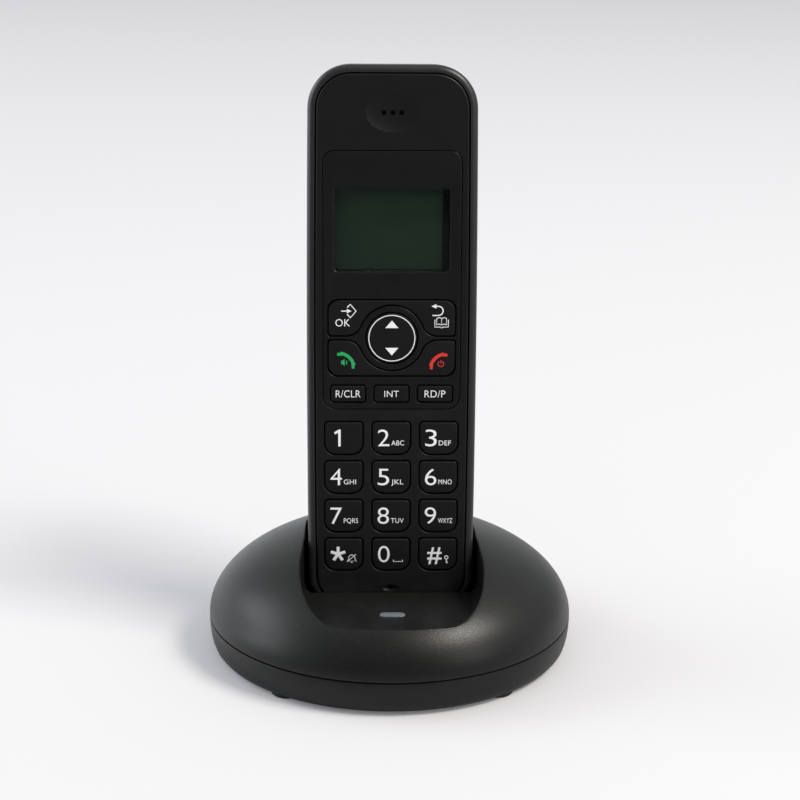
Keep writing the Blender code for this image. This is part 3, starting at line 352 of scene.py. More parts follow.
# %% Handling group
handling, handling_in, handling_out = new_group(
    "handling",
    [("Color", "Color", (0.02, 0.02, 0.02, 1)), ("Worn Color", "Color", (0.06, 0.06, 0.06, 1)),
     ("Roughness", "Float", 0.45), ("Wear", "Float", 0.3), ("Smudge", "Float", 0.08)],
    [("Color", "Color"), ("Roughness", "Float"), ("Mask", "Float")],
)
shape_node = add_node(handling, "NewGeometry")
edge = add_node(handling, "MapRange", Value=shape_node.outputs["Pointiness"], From_Min=0.515, From_Max=0.58)
here = add_node(handling, "TexCoord").outputs["Object"]
breakup = add_node(handling, "TexNoise", Vector=here, Scale=260.0, Detail=4.0)
patchy = add_node(handling, "MapRange", Value=breakup.outputs["Fac"], From_Min=0.35, From_Max=0.65)
rubbed = maths(handling, "MULTIPLY", edge.outputs["Result"], patchy.outputs["Result"])
mask = maths(handling, "MULTIPLY", rubbed, handling_in.outputs["Wear"], clamp=True)
handling.links.new(mask, handling_out.inputs["Mask"])
tinted = blend_colours(handling, mask, handling_in.outputs["Color"], handling_in.outputs["Worn Color"])
handling.links.new(tinted, handling_out.inputs["Color"])
cloud = add_node(handling, "TexNoise", Vector=here, Scale=45.0, Detail=3.0, Distortion=0.6)
swing = maths(handling, "MULTIPLY", maths(handling, "SUBTRACT", cloud.outputs["Fac"], 0.5),
              handling_in.outputs["Smudge"])
rough = maths(handling, "ADD", handling_in.outputs["Roughness"], swing)
rough = maths(handling, "SUBTRACT", rough, maths(handling, "MULTIPLY", mask, 0.12), clamp=True)
handling.links.new(rough, handling_out.inputs["Roughness"])
print("group", handling.name)

# %% [markdown]
# ## Dust
# Dust settles on faces that look up. The group compares the surface's normal with the upward
# direction and lets a very fine noise decide where the grains lie, so that the tops of the
# base and of the handset carry a few pale specks.

# %% Dust group
dust, dust_in, dust_out = new_group(
    "dust",
    [("Color", "Color", (0.02, 0.02, 0.02, 1)), ("Amount", "Float", 0.2)],
    [("Color", "Color"), ("Mask", "Float")],
)
facing = add_node(dust, "SeparateXYZ", Vector=add_node(dust, "NewGeometry").outputs["Normal"])
upward = add_node(dust, "MapRange", Value=facing.outputs["Z"], From_Min=0.3, From_Max=1.0)
specks = add_node(dust, "TexNoise", Vector=add_node(dust, "TexCoord").outputs["Object"], Scale=2600.0,
                  Detail=1.0)
rare = add_node(dust, "MapRange", Value=specks.outputs["Fac"], From_Min=0.7, From_Max=0.8)
lying = maths(dust, "MULTIPLY", upward.outputs["Result"], rare.outputs["Result"])
film = maths(dust, "MULTIPLY", upward.outputs["Result"], 0.03)
share = maths(dust, "MULTIPLY", maths(dust, "ADD", lying, film), dust_in.outputs["Amount"], clamp=True)
dust.links.new(share, dust_out.inputs["Mask"])
settled = blend_colours(dust, share, dust_in.outputs["Color"], (0.32, 0.31, 0.30, 1))
dust.links.new(settled, dust_out.inputs["Color"])
print("group", dust.name)


# %% [markdown]
# ## Plastic and rubber
# One recipe makes every moulded finish. Only its numbers differ: the case has a coarser grain
# and more sheen, the face and fascia are finer, and the rubber keys are the most matt.


# %% Recipe for a moulded finish
def new_material(name, colour=(0.5, 0.5, 0.5), roughness=0.5, metallic=0.0):
    material = bpy.data.materials.new(name)
    material.use_nodes = True
    shader = material.node_tree.nodes["Principled BSDF"]
    shader.inputs["Base Color"].default_value = (*colour, 1.0)
    shader.inputs["Roughness"].default_value = roughness
    shader.inputs["Metallic"].default_value = metallic
    MATERIALS[name] = material
    return material.node_tree, shader


def use_group(tree, group, **values):
    node = tree.nodes.new("ShaderNodeGroup")
    node.node_tree = group
    for label, value in values.items():
        socket = node.inputs[label.replace("_", " ")]
        if isinstance(value, bpy.types.NodeSocket):
            tree.links.new(value, socket)
        else:
            socket.default_value = value
    return node


def moulded(name, colour, roughness, grain_size, grain_depth, sheen=0.5, wear=0.3, dusty=0.2):
    tree, shader = new_material(name, colour, roughness)
    shader.inputs["Specular IOR Level"].default_value = sheen
    worn = [min(1.0, 2.4 * channel + 0.012) for channel in colour]
    touched = use_group(
        tree, handling, Color=(*colour, 1), Worn_Color=(*worn, 1), Roughness=roughness, Wear=wear, Smudge=0.08
    )
    texture = use_group(tree, grain, Size=grain_size)
    lying = use_group(tree, dust, Color=touched.outputs["Color"], Amount=dusty)
    tree.links.new(lying.outputs["Color"], shader.inputs["Base Color"])
    glint = maths(tree, "MULTIPLY", texture.outputs["Speckle"], -0.1)
    gloss = maths(tree, "ADD", touched.outputs["Roughness"], glint)
    dull = maths(tree, "MULTIPLY", lying.outputs["Mask"], 0.4)
    tree.links.new(maths(tree, "ADD", gloss, dull, clamp=True), shader.inputs["Roughness"])
    bump = add_node(tree, "Bump", Strength=0.6, Distance=grain_depth, Height=texture.outputs["Height"])
    tree.links.new(bump.outputs["Normal"], shader.inputs["Normal"])
    return tree, shader


moulded("case_plastic", (0.020, 0.021, 0.0215), 0.40, 0.00042, 0.000045, sheen=0.8)
moulded("base_plastic", (0.0105, 0.0112, 0.0110), 0.38, 0.00042, 0.00005, sheen=0.5, dusty=0.3)
moulded("face_plastic", (0.0095, 0.0100, 0.0105), 0.42, 0.0003, 0.00002, sheen=0.42, dusty=0.1)
moulded("fascia_plastic", (0.0088, 0.0090, 0.0092), 0.38, 0.00026, 0.000014, sheen=0.42, dusty=0.1)
moulded("key_rubber", (0.0085, 0.0085, 0.0095), 0.55, 0.0003, 0.000025, sheen=0.35, wear=0.2)
moulded("foot_rubber", (0.022, 0.022, 0.023), 0.75, 0.0005, 0.00004, sheen=0.3, wear=0.4)
moulded("socket_plastic", (0.012, 0.012, 0.012), 0.35, 0.0004, 0.00001, wear=0.1, dusty=0.05)
moulded("mat_rubber", (0.05, 0.05, 0.055), 0.7, 0.0005, 0.00003, wear=0.1, dusty=0.05)
print(len(MATERIALS), "moulded finishes")

# %% [markdown]
# ## Inks
# The marks on the keys are printed and then sealed. Ink is a little uneven, so a fine noise
# thins its colour here and there and its surface is smoother than the rubber beneath it.


# %% Recipe for an ink
def ink(name, colour, thin):
    tree, shader = new_material(name, colour, 0.42)
    here = add_node(tree, "TexCoord").outputs["Object"]
    cover = add_node(tree, "TexNoise", Vector=here, Scale=2200.0, Detail=3.0)
    share = add_node(tree, "MapRange", Value=cover.outputs["Fac"], From_Min=0.45, From_Max=0.8, To_Max=0.35)
    tone = blend_colours(tree, share.outputs["Result"], (*colour, 1), (*thin, 1))
    tree.links.new(tone, shader.inputs["Base Color"])
    gloss = add_node(tree, "MapRange", Value=cover.outputs["Fac"], To_Min=0.36, To_Max=0.5)
    tree.links.new(gloss.outputs["Result"], shader.inputs["Roughness"])
    bump = add_node(tree, "Bump", Strength=0.3, Distance=0.00001, Height=cover.outputs["Fac"])
    tree.links.new(bump.outputs["Normal"], shader.inputs["Normal"])


ink("white_ink", (0.97, 0.97, 0.97), (0.78, 0.79, 0.80))
ink("green_ink", (0.012, 0.44, 0.12), (0.008, 0.28, 0.075))
ink("red_ink", (0.78, 0.03, 0.022), (0.50, 0.016, 0.014))
print("inks ready")

# %% [markdown]
# ## Metals
# Contacts and pins are nickel plated and screws are zinc plated steel. Plating is never quite
# even: fine scratches run along it and its roughness drifts, which keeps small bright parts
# from looking like mirrors.


# %% Recipe for a plated metal
def plated(name, colour, roughness, scratch):
    tree, shader = new_material(name, colour, roughness, 1.0)
    here = add_node(tree, "TexCoord").outputs["Object"]
    stretch = add_node(tree, "Mapping", Vector=here, Scale=(1.0, 1.0, 9.0))
    lines = add_node(tree, "TexNoise", Vector=stretch.outputs["Vector"], Scale=900.0, Detail=5.0,
                     Roughness=0.7)
    drift = add_node(tree, "TexNoise", Vector=here, Scale=220.0, Detail=2.0)
    tone = blend_colours(tree, drift.outputs["Fac"], (*colour, 1), (*[c * 0.72 for c in colour], 1))
    tree.links.new(tone, shader.inputs["Base Color"])
    gloss = add_node(tree, "MapRange", Value=lines.outputs["Fac"], To_Min=roughness - 0.08,
                     To_Max=roughness + 0.14)
    tree.links.new(gloss.outputs["Result"], shader.inputs["Roughness"])
    bump = add_node(tree, "Bump", Strength=0.35, Distance=scratch, Height=lines.outputs["Fac"])
    tree.links.new(bump.outputs["Normal"], shader.inputs["Normal"])


plated("nickel", (0.62, 0.60, 0.56), 0.24, 0.00001)
plated("zinc_steel", (0.46, 0.46, 0.47), 0.34, 0.00002)
plated("gold_wire", (0.83, 0.62, 0.24), 0.22, 0.000008)
print("metals ready")

# %% [markdown]
# ## Display
# The window is clear acrylic with a hard coat. Behind it lies the liquid crystal panel, which
# is a dark grey green when it is off: its colour drifts a little and a faint grid of cells
# shows from close by. A black mask borders the part that can light up.

# %% Window, panel and lamp finishes
tree, shader = new_material("clear_acrylic", (0.93, 0.96, 0.94), 0.04)
shader.inputs["Transmission Weight"].default_value = 1.0
shader.inputs["IOR"].default_value = 1.49
here = add_node(tree, "TexCoord").outputs["Object"]
haze = add_node(tree, "TexNoise", Vector=here, Scale=70.0, Detail=5.0, Roughness=0.65)
gloss = add_node(tree, "MapRange", Value=haze.outputs["Fac"], From_Min=0.4, From_Max=0.75, To_Min=0.03,
                 To_Max=0.12)
tree.links.new(gloss.outputs["Result"], shader.inputs["Roughness"])

tree, shader = new_material("crystal_panel", (0.030, 0.052, 0.037), 0.3)
shader.inputs["Specular IOR Level"].default_value = 0.3
here = add_node(tree, "TexCoord").outputs["Object"]
cells = add_node(tree, "TexBrick", {"offset": 0.0, "squash": 1.0}, Vector=here, Scale=1.0,
                 Color1=(1, 1, 1, 1), Color2=(0.96, 0.97, 0.96, 1), Mortar=(0.86, 0.9, 0.87, 1),
                 Mortar_Size=0.00006, Brick_Width=0.00045, Row_Height=0.00045)
lie = add_node(tree, "Mapping", Vector=here, Rotation=(math.pi / 2 + LEAN, 0.0, 0.0))
tree.links.new(lie.outputs["Vector"], cells.inputs["Vector"])
drift = add_node(tree, "TexNoise", Vector=here, Scale=28.0, Detail=2.0)
tone = blend_colours(tree, drift.outputs["Fac"], (0.078, 0.150, 0.105, 1), (0.098, 0.180, 0.126, 1))
tree.links.new(blend_colours(tree, 1.0, tone, cells.outputs["Color"], "MULTIPLY"),
               shader.inputs["Base Color"])

tree, shader = new_material("smoked_lens", (0.20, 0.27, 0.36), 0.22)
shader.inputs["Subsurface Weight"].default_value = 0.35
shader.inputs["Subsurface Radius"].default_value = (0.0008, 0.001, 0.0013)
here = add_node(tree, "TexCoord").outputs["Object"]
milky = add_node(tree, "TexNoise", Vector=here, Scale=500.0, Detail=4.0)
tone = blend_colours(tree, milky.outputs["Fac"], (0.15, 0.19, 0.235, 1), (0.22, 0.265, 0.31, 1))
tree.links.new(tone, shader.inputs["Base Color"])
gloss = add_node(tree, "MapRange", Value=milky.outputs["Fac"], To_Min=0.16, To_Max=0.34)
tree.links.new(gloss.outputs["Result"], shader.inputs["Roughness"])
print("display finishes ready")

# %% [markdown]
# ## Boards and battery wrap
# Circuit boards are green with paler copper runs under the lacquer, which two brick patterns
# suggest well enough for parts that are hardly seen. The cells wear a printed film in two
# colours with a fine crinkle.

# %% Board and wrap finishes
tree, shader = new_material("circuit_board", (0.01, 0.12, 0.05), 0.4)
here = add_node(tree, "TexCoord").outputs["Object"]
runs = add_node(tree, "TexBrick", Vector=here, Scale=1.0, Color1=(0.008, 0.10, 0.04, 1),
                Color2=(0.012, 0.16, 0.06, 1),
                Mortar=(0.02, 0.26, 0.10, 1), Mortar_Size=0.00025, Brick_Width=0.0062, Row_Height=0.0023)
grime = add_node(tree, "TexNoise", Vector=here, Scale=160.0, Detail=4.0)
dulled = blend_colours(tree, grime.outputs["Fac"], runs.outputs["Color"], (0.006, 0.07, 0.03, 1))
tree.links.new(dulled, shader.inputs["Base Color"])
gloss = add_node(tree, "MapRange", Value=grime.outputs["Fac"], To_Min=0.3, To_Max=0.55)
tree.links.new(gloss.outputs["Result"], shader.inputs["Roughness"])

tree, shader = new_material("cell_film", (0.02, 0.18, 0.32), 0.3)
here = add_node(tree, "TexCoord").outputs["Object"]
band = add_node(tree, "SeparateXYZ", Vector=here)
upper = add_node(tree, "MapRange", Value=band.outputs["Z"], From_Min=0.0985, From_Max=0.0987)
colours = blend_colours(tree, upper.outputs["Result"], (0.015, 0.10, 0.23, 1), (0.50, 0.51, 0.52, 1))
crinkle = add_node(tree, "TexNoise", Vector=here, Scale=380.0, Detail=4.0)
faded = blend_colours(tree, crinkle.outputs["Fac"], colours, (0.06, 0.16, 0.26, 1))
tree.links.new(faded, shader.inputs["Base Color"])
gloss = add_node(tree, "MapRange", Value=crinkle.outputs["Fac"], To_Min=0.22, To_Max=0.42)
tree.links.new(gloss.outputs["Result"], shader.inputs["Roughness"])
bump = add_node(tree, "Bump", Strength=0.3, Distance=0.00003, Height=crinkle.outputs["Fac"])
tree.links.new(bump.outputs["Normal"], shader.inputs["Normal"])
print(len(MATERIALS), "finishes in all")

# %% [markdown]
# # The base
# The upper cover is a low dome with an open scoop in front, from which the handset's foot
# drops into a pocket. The rim of the scoop is softly rounded and its floor runs up into its
# wall, so its outline is made once, set on the dome, and every ring of the dome follows it.

# %% Sizes of the base
SEAM = 10.3 * MM
SEAM_GAP = 0.4 * MM
UPPER_EDGE = SEAM + SEAM_GAP / 2
LOWER_EDGE = SEAM - SEAM_GAP / 2
BASE_RADIUS = 52.8 * MM
DOME_RISE = 26.0 * MM
WALL = 2.2 * MM
PLUG_RADIUS = BASE_RADIUS - WALL - 0.35 * MM
FOOT_REACH = 1.0 * MM
PLUG_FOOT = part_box("base_upper_cover")[0].z
SCOOP_DEPTH = 6.0 * MM
SCOOP_HALF = WIDTH / 2 + 1.8 * MM
SCOOP_WIDEST = -9.0 * MM
SCOOP_FRONT = 28.96 * MM
POCKET_HALF = WIDTH / 2 + 0.7 * MM
POCKET_BACK = THICKNESS + 0.7 * MM
POCKET_FLOOR = -0.4 * MM
print("dome", round(2 * BASE_RADIUS / MM, 1), "mm across,", round((UPPER_EDGE + DOME_RISE) / MM, 1),
      "mm high")


# %% The outline of the scoop, at even steps
def even_steps(points, step):
    """Closed outline resampled so that its points are evenly spaced."""
    loop = points + [points[0]]
    lengths = [math.dist(a, b) for a, b in zip(loop, loop[1:])]
    count = round(sum(lengths) / step)
    spaced, passed, index = [], 0.0, 0
    for number in range(count):
        target = sum(lengths) * number / count
        while passed + lengths[index] < target:
            passed += lengths[index]
            index += 1
        share = (target - passed) / lengths[index]
        a, b = loop[index], loop[index + 1]
        spaced.append((a[0] + (b[0] - a[0]) * share, a[1] + (b[1] - a[1]) * share))
    return spaced


def cradle_outline(grow=0.0, step=1.5 * MM):
    """Squarish oval in front that narrows to the pocket behind, in the handset's plan."""
    points = []
    for index in range(97):
        angle = math.pi * (1 + index / 96)
        x = math.copysign(abs(math.cos(angle)) ** (2 / 2.75), math.cos(angle))
        y = abs(math.sin(angle)) ** (2 / 2.75)
        points.append(((SCOOP_HALF + grow) * x, SCOOP_WIDEST - (SCOOP_FRONT + grow) * y))
    corner = 6.7 * MM + grow
    half, back = POCKET_HALF + grow, POCKET_BACK + grow
    points.append((half, 5.2 * MM))
    for index in range(13):
        angle = math.pi / 2 * index / 12
        points.append((half - corner + corner * math.cos(angle), back - corner + corner * math.sin(angle)))
    points += [(-x, y) for x, y in reversed(points[97:])]
    return even_steps(points, step)


CRADLE = cradle_outline()
print("cradle outline", len(CRADLE), "points")

# %% [markdown]
# ## The skin of the dome
# To give the dome rings that follow the scoop, its points are laid out flat first, as on a
# polar map: the distance from the middle is the angle down from the top. The outline is
# extruded to the map's edge and cut into rings, and only then is the map lifted to the dome.


# %% From handset space to the dome, and from the map to the dome
UP = HANDSET.to_3x3() @ Vector((0.0, 0.0, 1.0))
BACK = HANDSET.inverted()


def on_dome(x, y):
    """Where a wall that stands at x, y in handset space comes out of the dome."""
    foot = HANDSET @ Vector((x, y, 0.0)) - Vector((0.0, 0.0, UPPER_EDGE))
    size = (BASE_RADIUS, BASE_RADIUS, DOME_RISE)
    a = Vector([foot[i] / size[i] for i in range(3)])
    b = Vector([UP[i] / size[i] for i in range(3)])
    half = a.dot(b) / b.dot(b)
    climb = -half + math.sqrt(half * half - (a.dot(a) - 1) / b.dot(b))
    return foot + UP * climb + Vector((0.0, 0.0, UPPER_EDGE))


def to_map(point):
    radius = math.hypot(point.x, point.y)
    angle = math.asin(min(1.0, radius / BASE_RADIUS)) / (math.pi / 2)
    return Vector((point.x, point.y, 0.0)) * (angle / radius)


def from_map(point):
    share = point.length
    angle = share * math.pi / 2
    flat = point * (BASE_RADIUS * math.sin(angle) / share)
    return Vector((flat.x, flat.y, UPPER_EDGE + DOME_RISE * math.cos(angle)))


print("the scoop's front comes out", round((BACK @ on_dome(0.0, SCOOP_WIDEST - SCOOP_FRONT)).z / MM, 2),
      "mm up")

# %% [markdown]
# ## Rim and fillet
# In front, the scoop's floor almost meets the dome, so there is hardly a wall there, while
# beside the handset the wall is high. A bevel has one width, so here each ring is extruded and
# set one by one: both the rim's and the fillet's radius shrink with the height of the wall.


# %% The outline as plain points with their walls
LOWEST_WALL = 0.15 * MM


def wall_height(x, y):
    return (BACK @ on_dome(x, y)).z - SCOOP_DEPTH


def settled(x, y):
    """Draws a point in towards the scoop's middle until a low wall is left behind it."""
    share = 1.0
    while wall_height(x * share, SCOOP_WIDEST + (y - SCOOP_WIDEST) * share) < LOWEST_WALL:
        share -= 0.004
    return Vector((x * share, SCOOP_WIDEST + (y - SCOOP_WIDEST) * share))


WALLS = [settled(x, y) for x, y in CRADLE]
COUNT = len(WALLS)
INWARD = []
for index, here in enumerate(WALLS):
    along = WALLS[(index + 1) % COUNT] - WALLS[index - 1]
    INWARD.append(Vector((-along.y, along.x)).normalized())
HEIGHTS = [wall_height(*point) for point in WALLS]
print("walls from", round(min(HEIGHTS) / MM, 2), "to", round(max(HEIGHTS) / MM, 2), "mm high")


def bend(start, corner, end, share):
    """A point of the smooth curve from start to end that is drawn towards the corner."""
    return start.lerp(corner, share).lerp(corner.lerp(end, share), share)


def in_handset(point, z):
    return HANDSET @ Vector((point.x, point.y, z))


def wall_point(index, stage):
    """Place of one outline point at a stage: 0 on the dome to 1 down the wall, 1 to 2 the fillet."""
    point, inwards, height = WALLS[index], INWARD[index], HEIGHTS[index]
    rim_radius = min(0.7 * MM, 0.45 * height)
    fillet = min(3.2 * MM, 0.5 * height)
    outside = point - inwards * rim_radius
    if stage <= 1.0:
        top = on_dome(*point)
        return bend(on_dome(*outside), top, in_handset(point, SCOOP_DEPTH + height - rim_radius), stage)
    foot = in_handset(point + inwards * fillet, SCOOP_DEPTH)
    return bend(in_handset(point, SCOOP_DEPTH + fillet), in_handset(point, SCOOP_DEPTH), foot, stage - 1.0)


# %% Dome skin, wall and floor
cover = bmesh.new()
rim = [cover.verts.new(to_map(wall_point(index, 0.0))) for index in range(COUNT)]
rim_edges = [cover.edges.new((a, b)) for a, b in zip(rim, rim[1:] + rim[:1])]
grown = bmesh.ops.extrude_edge_only(cover, edges=rim_edges)["geom"]
for vert in [g for g in grown if isinstance(g, bmesh.types.BMVert)]:
    vert.co = vert.co.normalized()
inner = set(rim)
spokes = [e for e in cover.edges if (e.verts[0] in inner) != (e.verts[1] in inner)]
bmesh.ops.subdivide_edges(cover, edges=spokes, cuts=17, use_grid_fill=True)
for vert in cover.verts:
    vert.co = from_map(vert.co)


def next_ring(shape, edges, place):
    """Extrudes a ring of edges and sets each new point where place says, given the old one."""
    grown = bmesh.ops.extrude_edge_only(shape, edges=edges)["geom"]
    for vert in [g for g in grown if isinstance(g, bmesh.types.BMVert)]:
        vert.co = place(vert.co.copy())
    return [g for g in grown if isinstance(g, bmesh.types.BMEdge)]


STAGES = (0.0, 0.25, 0.5, 0.75, 1.0, 1.0001, 1.16, 1.33, 1.5, 1.67, 1.84, 2.0)
ring = rim_edges
for old, new in zip(STAGES, STAGES[1:]):
    nearest = [(wall_point(index, old), index) for index in range(COUNT)]

    def follow(co):
        return wall_point(min(nearest, key=lambda known: (known[0] - co).length)[1], new)

    ring = next_ring(cover, ring, follow)
bmesh.ops.contextual_create(cover, geom=ring)
ring = [e for e in cover.edges if e.is_boundary]
for level in (UPPER_EDGE, PLUG_FOOT):

    def to_plug(co):
        return Vector((co.x, co.y, 0.0)).normalized() * PLUG_RADIUS + Vector((0.0, 0.0, level))

    ring = next_ring(cover, ring, to_plug)
bmesh.ops.contextual_create(cover, geom=ring)
bmesh.ops.recalc_face_normals(cover, faces=cover.faces)
base_edge = [e for e in cover.edges if all(
    abs(v.co.z - UPPER_EDGE) < 1e-6 and math.hypot(v.co.x, v.co.y) > BASE_RADIUS - 1e-5 for v in e.verts)]
bmesh.ops.bevel(cover, geom=base_edge, offset=0.25 * MM, segments=2, profile=0.5,
                affect="EDGES", material=-1, clamp_overlap=False, loop_slide=True)
print("cover", len(cover.faces), "faces, open edges:", sum(e.is_boundary for e in cover.edges))


# %% [markdown]
# ## Hollowing the cover
# A moulded cover is a shell, not a lump. The hollow is a smaller dome, from which the walls of
# the scoop, the pocket, the screw posts and the niche behind are kept. What is left of it is
# cut from the cover, and then the pocket, the niche and every hole.


# %% Solids in the handset's plan
def upright(points, low, high):
    """Solid that stands on a plan outline in handset space, leaned back to its place."""
    shape = bmesh.new()
    shape.faces.new([shape.verts.new((x, y, low)) for x, y in points])
    thicken(shape, high - low, axis=2)
    bmesh.ops.transform(shape, matrix=HANDSET, verts=shape.verts)
    return shape


def flat_plate(width, low, high, low_radius, high_radius, foot, top, segments=8):
    """Solid with a round cornered plan, between two levels."""
    shape = plate(width, low, high, low_radius, high_radius, segments)
    bmesh.ops.rotate(shape, matrix=Matrix.Rotation(-math.pi / 2, 3, "X"), verts=shape.verts)
    return thicken(moved(shape, (0.0, 0.0, foot)), top - foot, axis=2)


def leaned(shape):
    bmesh.ops.transform(shape, matrix=HANDSET, verts=shape.verts)
    return shape


def dome_profile(radius, base, rise, steps):
    turns = [math.pi / 2 * step / steps for step in range(steps + 1)]
    return [(radius * math.sin(a), base + rise * math.cos(a)) for a in turns]


# %% Hollow, pocket, niche and holes
SKY = 2 * DOME_RISE
POST_RADIUS = 3.7 * MM
POCKET_CORNER = 6.7 * MM
INNER_RADIUS = BASE_RADIUS - WALL
CORNERS = ("rear_right", "rear_left", "front_left", "front_right")


def middle(node):
    low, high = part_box(node)
    return (low + high) / 2


SCREWS = {name: middle("base_screw_" + name) for name in CORNERS}
FEET = {name: middle("foot_" + name) for name in CORNERS}
LINE_LOW, LINE_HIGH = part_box("line_socket")
POWER_LOW, POWER_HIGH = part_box("power_socket")
PAGE = middle("page_button")
NICHE_WALL = LINE_HIGH.y + 0.1 * MM
NICHE_FLOOR = 12.7 * MM
NICHE_TOP = NICHE_FLOOR + 10.4 * MM
NICHE_HALF = 21.1 * MM
PIN_X, PIN_Y = 8.0 * MM, THICKNESS / 2
LENS_Y = SCOOP_WIDEST - 13.4 * MM
hollow = turn(dome_profile(INNER_RADIUS, UPPER_EDGE, DOME_RISE - WALL, 16)
              + [(INNER_RADIUS, 0.5 * MM), (0.0, 0.5 * MM)], 96)
kept = [
    upright(cradle_outline(WALL, 3 * MM), SCOOP_DEPTH - WALL, SKY),
    leaned(flat_plate(2 * (POCKET_HALF + WALL), -0.7 * MM - WALL, POCKET_BACK + WALL, 3.7 * MM,
                      POCKET_CORNER + WALL,
                      POCKET_FLOOR - WALL, SCOOP_DEPTH)),
    block((-NICHE_HALF - WALL, NICHE_HALF + WALL), (NICHE_WALL - WALL, BASE_RADIUS),
          (UPPER_EDGE, NICHE_TOP + WALL)),
]
for walls in kept:
    hollow = combine(hollow, walls)
posts = together([rod(POST_RADIUS, UPPER_EDGE, SKY, (at.x, at.y), "Z") for at in SCREWS.values()])
hollow = combine(hollow, posts)
cover = combine(cover, hollow)
cover = combine(cover, leaned(flat_plate(2 * POCKET_HALF, -0.7 * MM, POCKET_BACK, 2.2 * MM, POCKET_CORNER,
                                         POCKET_FLOOR, SCOOP_DEPTH + MM)))
niche = block((-NICHE_HALF, NICHE_HALF), (NICHE_WALL, 2 * BASE_RADIUS), (NICHE_FLOOR, NICHE_TOP))
soften(niche, 1, NICHE_WALL, 0.8 * MM, 4)
cover = combine(cover, niche)
print("hollowed cover", len(cover.faces), "faces")

# %% Holes of the cover
holes = [rod(1.45 * MM, 0.5 * MM, 18.4 * MM, (at.x, at.y), "Z") for at in SCREWS.values()]
holes.append(rod(3.3 * MM, NICHE_WALL - 2 * WALL, NICHE_WALL + WALL, (PAGE.x, PAGE.z)))
for low, high in ((LINE_LOW, LINE_HIGH), (POWER_LOW, POWER_HIGH)):
    foot = NICHE_FLOOR + 0.3 * MM
    holes.append(block((low.x - 0.3 * MM, high.x + 0.3 * MM), (NICHE_WALL - 2 * WALL, NICHE_WALL + 2 * WALL),
                       (foot, high.z + 0.3 * MM)))
for side in (-1, 1):
    holes.append(leaned(rod(2.1 * MM, POCKET_FLOOR - 2 * WALL, WALL, (side * PIN_X, PIN_Y), "Z")))
lens_hole = flat_plate(7.8 * MM, LENS_Y - 2.1 * MM, LENS_Y + 2.1 * MM, 2.09 * MM, 2.09 * MM, 0.0,
                       2 * SCOOP_DEPTH)
holes.append(leaned(lens_hole))
cover = combine(cover, together(holes))


# %% Finish the cover
finish_piece("upper_cover", cover, "base_plastic", "base", nodes=["base_upper_cover"],
             crisp=38)

# %% [markdown]
# ## Lower cover
# The lower cover is a shallow dish, turned from one profile. Its wall leans in below the seam
# so that the base seems to float, and a lip stands inside the upper cover. The seats of the
# rubber feet and the wells of the screws are cut from below.

# %% Lower cover
LIP = INNER_RADIUS - 0.9 * MM
FLOOR = FOOT_REACH + 2.2 * MM
profile = [
    (0.0, FLOOR), (LIP - 3.0 * MM, FLOOR), (LIP - 1.8 * MM, FLOOR + 0.5 * MM),
    (LIP - 1.2 * MM, FLOOR + 1.8 * MM),
    (LIP - 1.2 * MM, LOWER_EDGE + 1.4 * MM), (LIP, LOWER_EDGE + 1.4 * MM), (LIP, LOWER_EDGE),
    (BASE_RADIUS - 0.3 * MM, LOWER_EDGE), (BASE_RADIUS - 0.08 * MM, LOWER_EDGE - 0.1 * MM),
    (BASE_RADIUS, LOWER_EDGE - 0.35 * MM), (BASE_RADIUS - 0.12 * MM, 0.72 * LOWER_EDGE),
    (BASE_RADIUS - 0.4 * MM, 0.5 * LOWER_EDGE), (BASE_RADIUS - 0.75 * MM, 0.34 * LOWER_EDGE),
    (BASE_RADIUS - 1.2 * MM, 0.22 * LOWER_EDGE), (BASE_RADIUS - 1.9 * MM, 0.13 * LOWER_EDGE),
    (BASE_RADIUS - 2.8 * MM, FOOT_REACH), (0.0, FOOT_REACH),
]
dish = turn(profile, 160)
seats = [rod(4.8 * MM, -MM, 1.8 * MM, (at.x, at.y), "Z", 48) for at in FEET.values()]
seats += [rod(3.05 * MM, -MM, 3.4 * MM, (at.x, at.y), "Z", 32) for at in SCREWS.values()]
seats += [rod(1.75 * MM, -MM, 12 * MM, (at.x, at.y), "Z", 24) for at in SCREWS.values()]
reach = NICHE_HALF + WALL + 0.6 * MM
seats.append(block((-reach, reach), (NICHE_WALL - WALL - 0.6 * MM, INNER_RADIUS),
                   (LOWER_EDGE + 0.02 * MM, UPPER_EDGE + 3 * MM)))
posts = together([rod(POST_RADIUS, FLOOR - MM, LOWER_EDGE, (at.x, at.y), "Z") for at in SCREWS.values()])
dish = combine(combine(dish, posts, "UNION"), together(seats))
finish_piece("lower_cover", dish, "base_plastic", "base", nodes=["base_lower_cover"],
             crisp=38)

# %% [markdown]
# ## Feet, screws, lens and pins
# Four moulded rubber feet have a raised ring to grip the table. The screws are cross headed:
# the head is turned and the cross is cut from it with two bars. The lamp's lens is a small
# domed lozenge, and two sprung pins with round tips charge the handset.

# %% Feet and screws
for name, at in FEET.items():
    profile = [(0.0, 1.5), (4.5, 1.5), (4.5, 0.35), (4.25, 0.1), (3.9, 0.0), (3.1, 0.0), (2.8, 0.12),
               (2.6, 0.3), (0.0, 0.3)]
    foot = turn([(radius * MM, height * MM) for radius, height in profile], 64)
    finish_piece("foot_pad_" + name, moved(foot, (at.x, at.y, 0.0)), "foot_rubber", "base",
                 nodes=["foot_" + name], crisp=45)


HEAD_HEIGHT = 1.4 * MM


